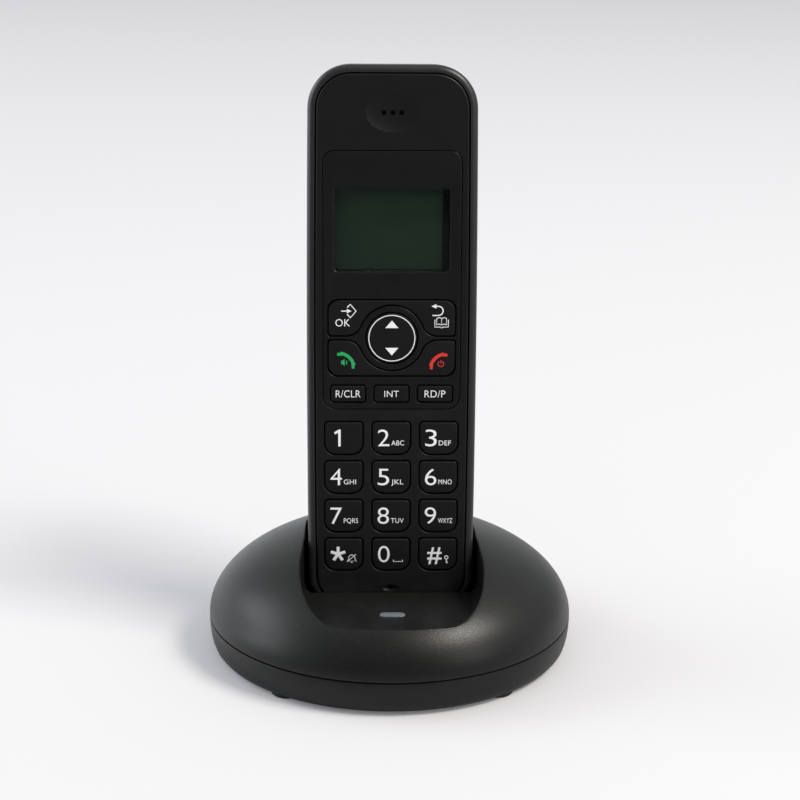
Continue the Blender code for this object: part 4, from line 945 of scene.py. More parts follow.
def cross_screw(radius, length):
    """Pan head screw that points up, with its head's underside at the origin."""
    rise, shank = 1.3 * MM, 1.15 * MM
    profile = [(0.0, -rise), (0.45 * radius, -0.97 * rise), (0.8 * radius, -0.75 * rise),
               (radius, -0.3 * rise),
               (radius, 0.0), (shank, 0.0)]
    turns = 9
    for turn_number in range(turns):
        start = 0.12 * length + 0.8 * length * turn_number / turns
        profile += [(shank, start), (0.8 * shank, start + 0.04 * length)]
    profile += [(shank, 0.93 * length), (0.0, length)]
    screw = turn(profile, 40)
    slot = 0.62 * radius
    thin = 0.14 * radius
    depth = (-2 * rise, -0.35 * rise)
    screw = combine(screw, block((-slot, slot), (-thin, thin), depth))
    return combine(screw, block((-thin, thin), (-slot, slot), depth))


for name, at in SCREWS.items():
    low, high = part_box("base_screw_" + name)
    screw = cross_screw(2.6 * MM, high.z - low.z - HEAD_HEIGHT)
    finish_piece("cover_screw_" + name, moved(screw, (at.x, at.y, low.z + HEAD_HEIGHT)), "zinc_steel", "base",
                 nodes=["base_screw_" + name], crisp=40)

# %% Lens and charge pins
lens = flat_plate(7.2 * MM, LENS_Y - 1.8 * MM, LENS_Y + 1.8 * MM, 1.79 * MM, 1.79 * MM, 1.5 * MM, 6.3 * MM,
                  16)
soften(lens, 2, 6.3 * MM, 0.45 * MM, 5)
finish_piece("lamp_lens", lens, "smoked_lens", "base", HANDSET, ["indicator_lens"], 50)
for name, side in (("left", -1), ("right", 1)):
    low, high = measure("charge_pin_" + name)
    tip, foot = high.z, low.z
    profile = [(0.0, tip), (0.7 * MM, tip - 0.08 * MM), (1.3 * MM, tip - 0.4 * MM),
               (1.7 * MM, tip - 0.95 * MM),
               (1.8 * MM, tip - 1.4 * MM), (1.8 * MM, foot + MM), (2.5 * MM, foot + MM),
               (2.5 * MM, foot), (0.0, foot)]
    pin = turn(profile, 48)
    finish_piece("sprung_pin_" + name, moved(pin, (side * PIN_X, PIN_Y, 0.0)), "nickel", "charge_pin_" + name,
                 HANDSET, ["charge_pin_" + name], 45)

# %% [markdown]
# ## Sockets and page button
# The niche behind holds a telephone line socket with a stepped mouth and six gold wires, a
# round power socket with its centre pin, and the button that makes the handset ring.

# %% Sockets
JACK_DEPTH = 13.8 * MM
JACK_FOOT = NICHE_FLOOR + 0.6 * MM
line = block((LINE_LOW.x, LINE_HIGH.x), (LINE_HIGH.y - JACK_DEPTH, LINE_HIGH.y), (JACK_FOOT, LINE_HIGH.z))
centre = (LINE_LOW.x + LINE_HIGH.x) / 2
level = (JACK_FOOT + LINE_HIGH.z) / 2
mouth = (LINE_HIGH.y - 9 * MM, LINE_HIGH.y + MM)
step = [block((centre - 4.9 * MM, centre + 4.9 * MM), mouth, (level - 1.5 * MM, level + 3.3 * MM)),
        block((centre - 3.1 * MM, centre + 3.1 * MM), mouth, (level - 2.5 * MM, level)),
        block((centre - 1.6 * MM, centre + 1.6 * MM), mouth, (level - 3.3 * MM, level))]
for part in step:
    line = combine(line, part)
finish_piece("line_jack", line, "socket_plastic", "base", nodes=["line_socket"],
             rim=0.15 * MM)
wires = []
for number in range(6):
    x = centre + (number - 2.5) * 1.02 * MM
    wire = rod(0.2 * MM, mouth[0] + 0.1 * MM, LINE_HIGH.y - 1.2 * MM, (0.0, 0.0), "Y", 12)
    bmesh.ops.rotate(wire, cent=(0, mouth[0], 0), matrix=Matrix.Rotation(math.radians(-9), 3, "X"),
                     verts=wire.verts)
    wires.append(moved(wire, (x, 0.0, level + 2.7 * MM)))
finish_piece("line_wires", together(wires), "gold_wire", "base")

power = block((POWER_LOW.x, POWER_HIGH.x), (POWER_HIGH.y - JACK_DEPTH, POWER_HIGH.y),
              (JACK_FOOT, POWER_HIGH.z))
centre = (POWER_LOW.x + POWER_HIGH.x) / 2
power = combine(power, rod(3.2 * MM, mouth[0], mouth[1], (centre, level), "Y", 48))
finish_piece("power_jack", power, "socket_plastic", "base", nodes=["power_socket"],
             rim=0.15 * MM)
pin = rod(0.9 * MM, mouth[0] - 0.2 * MM, POWER_HIGH.y - 1.6 * MM, (centre, level), "Y", 32)
soften(pin, 1, POWER_HIGH.y - 1.6 * MM, 0.5 * MM, 4)
finish_piece("power_pin", pin, "nickel", "base", crisp=50)

# %% Page button
low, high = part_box("page_button")
page = rod(3.7 * MM, low.y, low.y + 1.6 * MM, (PAGE.x, PAGE.z), "Y", 64)
cap = rod(3.0 * MM, low.y, high.y, (PAGE.x, PAGE.z), "Y", 64)
soften(cap, 1, high.y, 0.45 * MM, 4)
hollowed = faces_at(cap, 1, high.y)[0]
inset(cap, hollowed, 1.1 * MM)
bmesh.ops.translate(cap, vec=(0.0, -0.25 * MM, 0.0), verts=hollowed.verts)
page = combine(page, cap, "UNION")
finish_piece("page_cap", page, "key_rubber", "page_button", nodes=["page_button"], crisp=45)

# %% [markdown]
# # The handset
# The handset is two shells. The rear shell wraps round the sides and shows as a thin soft rim
# in front, and the face sits inside it with a fine groove between them. Its sides swell a
# little, so the plate they are both made from has extra points along its long sides.

# %% Sizes of the handset
TOP_RADIUS = 12.0 * MM
BOTTOM_RADIUS = 11.0 * MM
SWELL = 0.35 * MM
SHELL_WALL = 2.1 * MM
FACE_INSET = SHELL_WALL + 0.35 * MM
BACK_ROUNDING = 7.0 * MM
INNER_BACK = THICKNESS - 2.3 * MM
POST_X, POST_Z = WIDTH / 2 - 10.0 * MM, 7.5 * MM
FASCIA_LOW, FASCIA_HIGH = measure("control_fascia")
FASCIA_WIDTH = FASCIA_HIGH.x - FASCIA_LOW.x
KEY_LOW, KEY_HIGH = measure("key_5")
DOOR_LOW, DOOR_HIGH = measure("battery_door")
BAY_LOW, BAY_HIGH = measure("battery_tray")
EAR_Z = measure("earpiece_speaker")[0].z + 9.0 * MM
RINGER_Z = measure("ringer_speaker")[0].z + 10.0 * MM
MIC_Z = 7.1 * MM


def handset_plate(inward):
    """Front view of the handset moved inwards, with its swelling sides."""
    half = WIDTH / 2 - SWELL - inward
    shape = plate(2 * half, inward, LENGTH - inward, BOTTOM_RADIUS - inward, TOP_RADIUS - inward, 14)
    sides = [e for e in shape.edges if e.calc_length() > LENGTH / 2]
    bmesh.ops.subdivide_edges(shape, edges=sides, cuts=11)
    foot, top = BOTTOM_RADIUS, LENGTH - TOP_RADIUS
    for vert in shape.verts:
        if abs(abs(vert.co.x) - half) < 1e-6:
            share = min(1.0, max(0.0, (vert.co.z - foot) / (top - foot)))
            vert.co.x += math.copysign(SWELL * (1 - (2 * share - 1) ** 2), vert.co.x)
    return shape


def solid_plate(shape, low, high):
    return thicken(moved(shape, (0.0, low, 0.0)), high - low)


print("face width", round((WIDTH - 2 * FACE_INSET) / MM, 2), "mm")

# %% [markdown]
# ## Rear shell
# One thick plate becomes the shell: its back edge is rounded wide to fit the hand, its front
# rim narrow. The inside is a smaller copy of it. The door's recess, the ringer slots, the
# screw wells and the windows of the two charging contacts are then cut.

# %% Rear shell
SLOT_HALF = 0.5 * MM
rear = solid_plate(handset_plate(0.0), 0.2 * MM, THICKNESS)
soften(rear, 1, THICKNESS, BACK_ROUNDING, 12)
soften(rear, 1, 0.2 * MM, 1.8 * MM, 6)
inside = solid_plate(handset_plate(SHELL_WALL), -MM, INNER_BACK)
soften(inside, 1, INNER_BACK, BACK_ROUNDING - SHELL_WALL, 8)
rear = combine(rear, inside)
wells = [rod(3.6 * MM, THICKNESS - 6.0 * MM, INNER_BACK + MM, (x, POST_Z)) for x in (-POST_X, POST_X)]
rear = combine(rear, together(wells), "UNION")
recess = plate(DOOR_HIGH.x - DOOR_LOW.x + 0.6 * MM, DOOR_LOW.z - 7.3 * MM, DOOR_HIGH.z + 0.3 * MM, 3 * MM,
               3 * MM)
cuts = [solid_plate(recess, THICKNESS - 1.5 * MM, THICKNESS + MM)]
cuts += [rod(2.9 * MM, THICKNESS - 3.6 * MM, THICKNESS + MM, (x, POST_Z), segments=48)
         for x in (-POST_X, POST_X)]
for step in range(-2, 3):
    width = (10.0 - abs(step) ** 2 * 0.9) * MM
    level = RINGER_Z + step * 2.4 * MM
    slot = plate(width, level - SLOT_HALF, level + SLOT_HALF, 0.98 * SLOT_HALF, 0.98 * SLOT_HALF, 6)
    cuts.append(solid_plate(slot, INNER_BACK - MM, THICKNESS + MM))
rear = combine(rear, together(cuts))
openings = [block((BAY_LOW.x + 1.2 * MM, BAY_HIGH.x - 1.2 * MM), (THICKNESS - 6 * MM, THICKNESS),
                  (BAY_LOW.z + 1.2 * MM, BAY_HIGH.z - 1.2 * MM))]
openings += [rod(1.45 * MM, THICKNESS - 7 * MM, THICKNESS, (x, POST_Z)) for x in (-POST_X, POST_X)]
for side in (-1, 1):
    low, high = measure("charge_contact_left" if side < 0 else "charge_contact_right")
    openings.append(block((low.x - 0.3 * MM, high.x + 0.3 * MM), (low.y - 0.3 * MM, high.y + 0.3 * MM),
                          (-MM, SHELL_WALL + MM)))
rear = combine(rear, together(openings))
finish_piece("rear_shell", rear, "case_plastic", "handset", HANDSET, ["handset_rear_shell"],
             crisp=40)

# %% [markdown]
# ## Openings with a soft rim
# Moulded openings never have a knife edge. Their cutters are flared near the face: extra
# loops are cut through them at a few depths and pushed outwards, which leaves a small round
# rim once the cutter has done its work.


# %% Flared cutter
def flared(shape, reach):
    """Cutter along Y whose section grows in a quarter turn as it comes out of the face."""
    for turn_share in (1.0, 0.6, 0.25, 0.0):
        cut = reach * turn_share
        geom = shape.verts[:] + shape.edges[:] + shape.faces[:]
        bmesh.ops.bisect_plane(shape, geom=geom, dist=1e-8, plane_co=(0, cut, 0), plane_no=(0, 1, 0))
    shape.normal_update()
    pushes = []
    for vert in shape.verts:
        share = (reach - vert.co.y) / reach
        if share > 1e-4:
            side = Vector((vert.normal.x, 0.0, vert.normal.z)).normalized()
            pushes.append((vert, side * reach * (1 - math.sqrt(max(0.0, 1 - min(1.0, share) ** 2)))))
    for vert, push in pushes:
        vert.co += push
    return shape


KEY_GAP = 0.4 * MM
KEY_WIDTH, KEY_HEIGHT = 10.973 * MM, 9.4 * MM
KEY_PITCH_X = (measure("key_6")[0] - KEY_LOW).x
KEY_PITCH_Z = (KEY_LOW - measure("key_8")[0]).z
KEY_BOW = 0.25 * MM


def number_key(column, row, grow):
    """Outline of a number key: small corners above, large ones below and a bowed lower edge."""
    centre = (column - 1) * KEY_PITCH_X
    middle_z = (KEY_LOW.z + KEY_HIGH.z) / 2 + (1 - row) * KEY_PITCH_Z
    low, high = middle_z - KEY_HEIGHT / 2 - grow, middle_z + KEY_HEIGHT / 2 + grow
    width = KEY_WIDTH + 2 * grow
    shape = plate(width, low, high, 3.0 * MM + grow, 1.2 * MM + grow, 8, centre)
    bottom = [e for e in shape.edges if all(abs(v.co.z - low) < 1e-6 for v in e.verts)]
    bmesh.ops.subdivide_edges(shape, edges=bottom, cuts=5)
    for vert in shape.verts:
        share = 2 * (vert.co.x - centre) / width
        if vert.co.z < middle_z:
            vert.co.z -= KEY_BOW * (1 - share * share)
    return shape


print("number keys", round(KEY_PITCH_X / MM, 2), "x", round(KEY_PITCH_Z / MM, 2), "mm apart")

# %% [markdown]
# ## The control fascia's outlines
# Two long rocker bars curve round the round navigation key. Their outline is drawn as with a
# pen: a single point is spun about one centre after another, so each arc is true, and then
# half of the outline is mirrored and filled.


# %% A pen that draws arcs by spinning a point
def pen_arc(shape, tip, centre, degrees, steps):
    """Spins the pen's tip about a centre; positive turns run from X towards Z."""
    result = bmesh.ops.spin(
        shape, geom=[tip], cent=(centre[0], 0.0, centre[1]), axis=(0.0, -1.0, 0.0),
        angle=math.radians(degrees), steps=steps, use_merge=False,
    )
    return [g for g in result["geom_last"] if isinstance(g, bmesh.types.BMVert)][0]


def pen_line(shape, tip, x, z):
    end = shape.verts.new((x, 0.0, z))
    shape.edges.new((tip, end))
    return end


NAV_Z = (measure("nav_key")[0].z + measure("nav_key")[1].z) / 2
NAV_RADIUS = 7.3 * MM
BAR_HALF = (FASCIA_WIDTH - 2.6 * MM) / 2
BAR_REACH = NAV_RADIUS + 3.6 * MM


def bar_plate(side, inward):
    """Outline of a rocker bar: an arch over the round key, a soft toe, and round ends."""
    arch = NAV_RADIUS + 2.0 * MM + inward
    foot = 0.55 * MM + inward
    half, top = BAR_HALF - inward, BAR_REACH - inward
    tip_round, corner, toe = 0.9 * MM, 3.0 * MM, 4.5 * MM - inward
    toe_z = foot + toe
    toe_x = math.sqrt((arch + toe) ** 2 - toe_z**2)
    meet = math.degrees(math.atan2(toe_z, toe_x))
    shape = bmesh.new()
    tip = shape.verts.new((0.0, 0.0, arch))
    tip = pen_arc(shape, tip, (0.0, 0.0), meet - 90.0, 16)
    tip = pen_arc(shape, tip, (toe_x, toe_z), 90.0 - meet, 10)
    tip = pen_line(shape, tip, half - tip_round, foot)
    tip = pen_arc(shape, tip, (half - tip_round, foot + tip_round), 90.0, 6)
    tip = pen_line(shape, tip, half, top - corner)
    tip = pen_arc(shape, tip, (half - corner, top - corner), 90.0, 10)
    pen_line(shape, tip, 0.0, top)
    bmesh.ops.mirror(shape, geom=shape.verts[:] + shape.edges[:], axis="X", merge_dist=1e-6)
    bmesh.ops.remove_doubles(shape, verts=shape.verts, dist=1e-6)
    bmesh.ops.contextual_create(shape, geom=shape.edges[:])
    bmesh.ops.scale(shape, vec=(1.0, 1.0, side), verts=shape.verts)
    return moved(shape, (0.0, 0.0, NAV_Z))


FUNCTION_LOW, FUNCTION_HIGH = measure("key_intercom")
FUNCTION_PITCH = (measure("key_redial")[0] - FUNCTION_LOW).x
FUNCTION_Z = (FUNCTION_LOW.z + FUNCTION_HIGH.z) / 2
FUNCTION_WIDTH, FUNCTION_HEIGHT = FUNCTION_PITCH - 2.33 * MM, 4.9 * MM


def function_key(column, grow):
    low, high = FUNCTION_Z - FUNCTION_HEIGHT / 2 - grow, FUNCTION_Z + FUNCTION_HEIGHT / 2 + grow
    centre = (column - 1) * FUNCTION_PITCH
    return plate(FUNCTION_WIDTH + 2 * grow, low, high, 0.9 * MM + grow, 0.9 * MM + grow, 6, centre)


print("navigation key at", round(NAV_Z / MM, 2), "mm, function keys at", round(FUNCTION_Z / MM, 2), "mm")

# %% [markdown]
# ## Front shell
# The face is a thin tray with a skirt that slides into the rear shell. It has a seat for the
# fascia, an opening for each number key, a dish for the ear with three sound holes, and a
# thumbnail of a recess for the microphone.

# %% Front shell
face = solid_plate(handset_plate(FACE_INSET), 0.0, 6.0 * MM)
soften(face, 1, 0.0, 0.55 * MM, 4)
face = combine(face, solid_plate(handset_plate(FACE_INSET + 1.2 * MM), 2.2 * MM, 7.0 * MM))
posts = [rod(3.0 * MM, 1.2 * MM, THICKNESS - 6.3 * MM, (x, POST_Z)) for x in (-POST_X, POST_X)]
face = combine(face, together(posts), "UNION")


def fascia_plate(grow):
    return plate(FASCIA_WIDTH + 2 * grow, FASCIA_LOW.z - grow, FASCIA_HIGH.z + grow, 3.8 * MM + grow,
                 3.0 * MM + grow)


seat = flared(solid_plate(fascia_plate(0.22 * MM), -MM, 1.5 * MM), reach=0.2 * MM)
face = combine(face, seat)
cuts = [flared(solid_plate(number_key(column, row, KEY_GAP / 2), -MM, 7 * MM), reach=0.3 * MM)
        for row in range(4) for column in range(3)]
cuts.append(solid_plate(fascia_plate(-0.7 * MM), -MM, 7 * MM))
cuts += [rod(1.4 * MM, 8.5 * MM, THICKNESS, (x, POST_Z)) for x in (-POST_X, POST_X)]
face = combine(face, together(cuts))
print("front shell", len(face.faces), "faces")


# %% Ear dish and microphone
def pebble(radii, centre):
    shape = bmesh.new()
    bmesh.ops.create_uvsphere(shape, u_segments=64, v_segments=32, radius=1.0)
    bmesh.ops.scale(shape, vec=radii, verts=shape.verts)
    return moved(shape, centre)


dish = pebble((10.4 * MM, 3.0 * MM, 7.4 * MM), (0.0, -2.0 * MM, EAR_Z))
face = combine(face, dish)
holes = [rod(0.7 * MM, -MM, 4 * MM, (step * 2.45 * MM, EAR_Z), segments=24) for step in (-1, 0, 1)]
face = combine(face, together(holes))
thumb = pebble((2.5 * MM, 1.1 * MM, 1.15 * MM), (0.0, 0.0, MIC_Z))
bmesh.ops.rotate(thumb, cent=(0, 0, MIC_Z), matrix=Matrix.Rotation(math.radians(-20), 3, "X"),
                 verts=thumb.verts)
face = combine(face, thumb)
face = combine(face, rod(0.6 * MM, -MM, 4 * MM, (0.0, MIC_Z + 0.2 * MM), segments=20))
finish_piece("front_shell", face, "face_plastic", "handset", HANDSET, ["handset_front_shell"],
             crisp=36,
             weigh=True)

# %% [markdown]
# ## Fascia
# The fascia is a satin plate let into the face. The display's window has a bevelled edge that
# catches the light, and every key comes through its own opening.

# %% Fascia
fascia = solid_plate(fascia_plate(0.0), 0.0, 1.2 * MM)
soften(fascia, 1, 0.0, 0.22 * MM, 3)
WINDOW_LOW, WINDOW_HIGH = measure("display_window")
MARGIN = 1.4 * MM
WINDOW = (WINDOW_HIGH.x - WINDOW_LOW.x - 2 * MARGIN, WINDOW_LOW.z + MARGIN, WINDOW_HIGH.z - MARGIN)
cuts = [flared(solid_plate(plate(*WINDOW, 0.8 * MM, 0.8 * MM, 6), -MM, 3 * MM), reach=0.45 * MM)]
for side in (1, -1):
    cuts.append(flared(solid_plate(bar_plate(side, -KEY_GAP / 2), -MM, 3 * MM), reach=0.2 * MM))
cuts.append(flared(rod(NAV_RADIUS + KEY_GAP / 2, -MM, 3 * MM, (0.0, NAV_Z), segments=96), reach=0.2 * MM))
cuts += [flared(solid_plate(function_key(column, KEY_GAP / 2), -MM, 3 * MM),
                reach=0.2 * MM) for column in range(3)]
fascia = combine(fascia, together(cuts))
finish_piece("fascia_plate", fascia, "fascia_plastic", "handset", HANDSET, ["control_fascia"],
             crisp=36)

# %% [markdown]
# ## Display
# Behind the window lie a black mask and the liquid crystal panel. The window is a plate of
# clear acrylic held behind the fascia, with a raised middle that fills the opening. The
# raised middle has a bevelled edge, which shows as a thin bright line round the display. Both
# the window and the mask join an inner outline to an outer one by bridging their edge loops.


# %% Window, mask and panel
def bridged(shapes):
    """Joins open shapes into one along the edge loops they leave open."""
    whole = together(shapes)
    bmesh.ops.bridge_loops(whole, edges=[edge for edge in whole.edges if len(edge.link_faces) < 2])
    bmesh.ops.recalc_face_normals(whole, faces=whole.faces)
    return whole


def opened(shape, level):
    """Takes away the face that lies at this level."""
    bmesh.ops.delete(shape, geom=faces_at(shape, 1, level), context="FACES_ONLY")
    return shape


low_y, high_y = WINDOW_LOW.y, WINDOW_HIGH.y
PANE = (WINDOW_HIGH.x - WINDOW_LOW.x, WINDOW_LOW.z, WINDOW_HIGH.z, MM, MM, 6)
step = plate(WINDOW[0] - 0.16 * MM, WINDOW[1] + 0.08 * MM, WINDOW[2] - 0.08 * MM, 0.72 * MM, 0.72 * MM, 6)
step = solid_plate(step, 0.28 * MM, low_y)
soften(step, 1, 0.28 * MM, 0.42 * MM, 3)
glass = bridged([opened(solid_plate(plate(*PANE), low_y, high_y), low_y), opened(step, low_y)])
finish_piece("window_pane", glass, "clear_acrylic", "handset", HANDSET, ["display_window"])
mask_y = high_y + 0.02 * MM
sight = plate(WINDOW[0] - 2.6 * MM, WINDOW[1] + 0.5 * MM, WINDOW[2] - 0.5 * MM, 0.6 * MM, 0.6 * MM, 6,
              -0.7 * MM)
mask = bridged([opened(moved(outline, (0.0, mask_y, 0.0)), mask_y) for outline in (plate(*PANE), sight)])
thicken(mask, 0.15 * MM)
finish_piece("display_mask", mask, "socket_plastic", "handset", HANDSET)
low, high = measure("display_panel")
panel = solid_plate(plate(high.x - low.x, low.z, high.z, 0.5 * MM, 0.5 * MM, 3), low.y, high.y)
soften(panel, 1, low.y, 0.15 * MM, 2)
finish_piece("crystal_display", panel, "crystal_panel", "handset", HANDSET, ["display_panel"])

# %% [markdown]
# # Keys
# Each key is a cap with a flange behind the face, which keeps it in its opening. The caps
# stand almost level with the face and have softly rounded rims.


# %% Key cap recipe
FLANGE_FRONT = 2.5 * MM
FLANGE_BACK = 3.3 * MM
PROUD = 0.1 * MM


def key_cap(outline, flange_outline, rim_radius=0.35 * MM):
    cap = solid_plate(outline, -PROUD, FLANGE_BACK)
    soften(cap, 1, -PROUD, rim_radius, 5)
    flange = solid_plate(flange_outline, FLANGE_FRONT, FLANGE_BACK)
    return combine(cap, flange, "UNION")


NUMBERS = ["1", "2", "3", "4", "5", "6", "7", "8", "9", "star", "0", "hash"]
for index, name in enumerate(NUMBERS):
    row, column = divmod(index, 3)
    cap = key_cap(number_key(column, row, -KEY_GAP / 2), number_key(column, row, 0.5 * MM), 0.42 * MM)
    finish_piece("cap_" + name, cap, "key_rubber", "key_" + name, HANDSET, ["key_" + name],
                 crisp=45)
for column, name in enumerate(("clear", "intercom", "redial")):
    cap = key_cap(function_key(column, -KEY_GAP / 2), function_key(column, 0.3 * MM), 0.3 * MM)
    finish_piece("cap_" + name, cap, "key_rubber", "key_" + name, HANDSET, ["key_" + name],
                 crisp=45)
for name, side in (("menu_bar", 1), ("call_bar", -1)):
    cap = key_cap(bar_plate(side, KEY_GAP / 2), bar_plate(side, KEY_GAP / 2 - 0.5 * MM))
    finish_piece("cap_" + name, cap, "key_rubber", name + "_key", HANDSET, [name + "_key"],
                 crisp=45)
cap = rod(NAV_RADIUS - KEY_GAP / 2, -PROUD, FLANGE_BACK - 0.2 * MM, (0.0, NAV_Z), segments=96)
soften(cap, 1, -PROUD, 0.4 * MM, 5)
cap = combine(cap, rod(NAV_RADIUS + 0.3 * MM, FLANGE_FRONT, FLANGE_BACK, (0.0, NAV_Z), segments=96), "UNION")
finish_piece("cap_navigation", cap, "key_rubber", "nav_key", HANDSET, ["nav_key"], crisp=45)

# %% [markdown]
# # Printed marks
# The marks are screen printed: a film of ink a few hundredths of a millimetre thick. Each key
# gets one thin piece that rides on it, made of letters, strokes and filled shapes. All are
# drawn in the plane of the key's face, in millimetres from the key's own middle.


# %% Ink helpers
INK_FRONT = -PROUD - 0.02 * MM
INK_THICKNESS = 0.04 * MM


def curve_to_shape(curve):
    """Meshes a flat curve, stands it up to face forward and gives back its mesh."""
    draft = bpy.data.objects.new("draft", curve)
    bpy.context.scene.collection.objects.link(draft)
    bpy.context.view_layer.update()
    mesh = bpy.data.meshes.new_from_object(draft.evaluated_get(bpy.context.evaluated_depsgraph_get()))
    bpy.data.objects.remove(draft, do_unlink=True)
    shape = bmesh.new()
    shape.from_mesh(mesh)
    bpy.data.meshes.remove(mesh)
    bmesh.ops.rotate(shape, matrix=Matrix.Rotation(math.pi / 2, 3, "X"), verts=shape.verts)
    return shape


def extent(shape, axis):
    values = [vert.co[axis] for vert in shape.verts]
    return min(values), max(values)


def type_shape(text, weight):
    curve = bpy.data.curves.new("letters", "FONT")
    curve.body = text
    curve.size = 10.0
    curve.offset = weight
    curve.resolution_u = 4
    curve.space_character = 1.04
    curve.extrude = 1.0
    return curve_to_shape(curve)


def letters(text, height, x, z, weight=0.0, width=None, centred=False):
    """Letters with their left edge (or middle) at x, their foot at z, capitals as high as asked."""
    shape = type_shape(text, weight)
    capital = type_shape("8" if text in NUMBERS else "H", weight)
    left, right = extent(shape, 0)
    low, high = extent(capital, 2)
    capital.free()
    scale = height / (high - low)
    across = width / (right - left) if width else scale
    shift = (left + right) / 2 if centred else left
    moved(shape, (-shift, 0.0, -low))
    bmesh.ops.scale(shape, vec=(across, INK_THICKNESS / 2 / MM, scale), verts=shape.verts)
    return moved(shape, (x, 0.0, z))


def stroke(points, width, closed=False):
    """A pen stroke with round ends through these points."""
    curve = bpy.data.curves.new("stroke", "CURVE")
    curve.dimensions = "3D"
    curve.bevel_depth = width / 2
    curve.bevel_resolution = 2
    curve.use_fill_caps = True
    spline = curve.splines.new("POLY")
    spline.points.add(len(points) - 1)
    spline.use_cyclic_u = closed
    for point, (x, z) in zip(spline.points, points):
        point.co = (x, z, 0.0, 1.0)
    shape = curve_to_shape(curve)
    bmesh.ops.scale(shape, vec=(1.0, 0.12, 1.0), verts=shape.verts)
    return shape


def filled(points):
    shape = bmesh.new()
    shape.faces.new([shape.verts.new((x, -INK_THICKNESS / 2 / MM, z)) for x, z in points])
    return thicken(shape, INK_THICKNESS / MM)


def ring_points(centre, radius, start=0.0, end=360.0, steps=32):
    turns = [math.radians(start + (end - start) * step / steps) for step in range(steps + 1)]
    return [(centre[0] + radius * math.cos(a), centre[1] + radius * math.sin(a)) for a in turns]


def print_marks(name, marks, colour, body, centre):
    """One film of ink from several marks in millimetres, set on the key whose middle is centre."""
    whole = together(marks)
    bmesh.ops.remove_doubles(whole, verts=whole.verts, dist=1e-5)
    bmesh.ops.recalc_face_normals(whole, faces=whole.faces)
    bmesh.ops.scale(whole, vec=(MM, MM, MM), verts=whole.verts)
    moved(whole, (centre[0], INK_FRONT, centre[1]))
    return finish_piece("print_" + name, whole, colour, body, HANDSET, crisp=40)


# %% [markdown]
# ## Number keys
# A large digit stands left of the middle, with the small letters of the alphabet at its foot.
# The star key also has a crossed out bell, the zero a mark for a space, the hash a small key.

# %% Digits and letters
ALPHABET = {
    "2": ("ABC", 3.65), "3": ("DEF", 3.5), "4": ("GHI", 3.5), "5": ("JKL", 3.5),
    "6": ("MNO", 3.85), "7": ("PQRS", 4.1), "8": ("TUV", 3.65), "9": ("WXYZ", 4.1),
}
ONE = [(-1.6, -2.45), (-0.9, -2.45), (-0.9, 2.45), (-1.45, 2.45), (-2.8, 1.6), (-2.45, 1.05), (-1.6, 1.55)]
DIGIT = 4.9
for index, name in enumerate(NUMBERS):
    row, column = divmod(index, 3)
    centre = ((column - 1) * KEY_PITCH_X, (KEY_LOW.z + KEY_HIGH.z) / 2 + (1 - row) * KEY_PITCH_Z)
    if name == "star":
        arms = [stroke([(-1.65, 0.0), (-1.65 + 2.2 * math.cos(a), 2.2 * math.sin(a))], 0.85)
                for a in [math.radians(90 + 72 * arm) for arm in range(5)]]
        bell = [(0.9, -2.05), (1.35, -1.6), (1.45, -0.8), (1.8, -0.35), (2.3, -0.2), (2.8, -0.35),
                (3.15, -0.8),
                (3.25, -1.6), (3.7, -2.05)]
        marks = arms + [stroke(bell, 0.2, True), stroke([(1.0, -2.3), (3.5, 0.0)], 0.2),
                        stroke([(2.0, -2.4), (2.6, -2.4)], 0.22)]
    elif name == "hash":
        bow = ring_points((2.5, -1.0), 0.48)
        bit = [(2.5, -1.5), (2.5, -2.7)]
        marks = [letters("#", DIGIT, -3.0, -DIGIT / 2, 0.1, 4.15), stroke(bow[:-1], 0.26, True),
                 stroke(bit, 0.26),
                 stroke([(2.5, -2.6), (2.95, -2.6)], 0.26), stroke([(2.5, -2.15), (2.85, -2.15)], 0.26)]
    elif name == "0":
        marks = [letters("0", DIGIT, -3.7, -DIGIT / 2, -0.06, 3.4),
                 stroke([(0.75, -1.7), (0.75, -2.2), (3.4, -2.2), (3.4, -1.7)], 0.24)]
    else:
        marks = [filled(ONE)] if name == "1" else [letters(name, DIGIT, -3.85, -DIGIT / 2, -0.06, 3.3)]
        if name in ALPHABET:
            text, width = ALPHABET[name]
            marks.append(letters(text, 1.4, 0.0, -DIGIT / 2 + 0.3, 0.0, width))
    print_marks(name, marks, "white_ink", "key_" + name, centre)
for column, (name, text, width) in enumerate((("clear", "R/CLR", 7.0), ("intercom", "INT", 4.1),
                                              ("redial", "RD/P", 5.9))):
    height = 2.0 if "/" in text else 1.75
    mark = letters(text, height, 0.0, -height / 2, -0.05, width, centred=True)
    print_marks(name, [mark], "white_ink", "key_" + name, ((column - 1) * FUNCTION_PITCH, FUNCTION_Z))

# %% [markdown]
# ## Navigation key and rocker bars
# The round key has a printed ring and two triangles. The upper bar's ends stand for "menu and
# OK" and "back and phone book", the lower bar's for taking a call in green and ending it in
# red. All of these are common signs, drawn here with strokes and simple shapes.

# %% Ring and triangles
ring = stroke(ring_points((0, 0), 6.5, steps=96)[:-1], 0.26, True)
triangles = [filled([(-1.85, 2.9), (1.85, 2.9), (0.0, 5.05)]),
             filled([(-1.85, -2.75), (0.0, -4.9), (1.85, -2.75)])]
print_marks("navigation", [ring] + triangles, "white_ink", "nav_key", (0.0, NAV_Z))

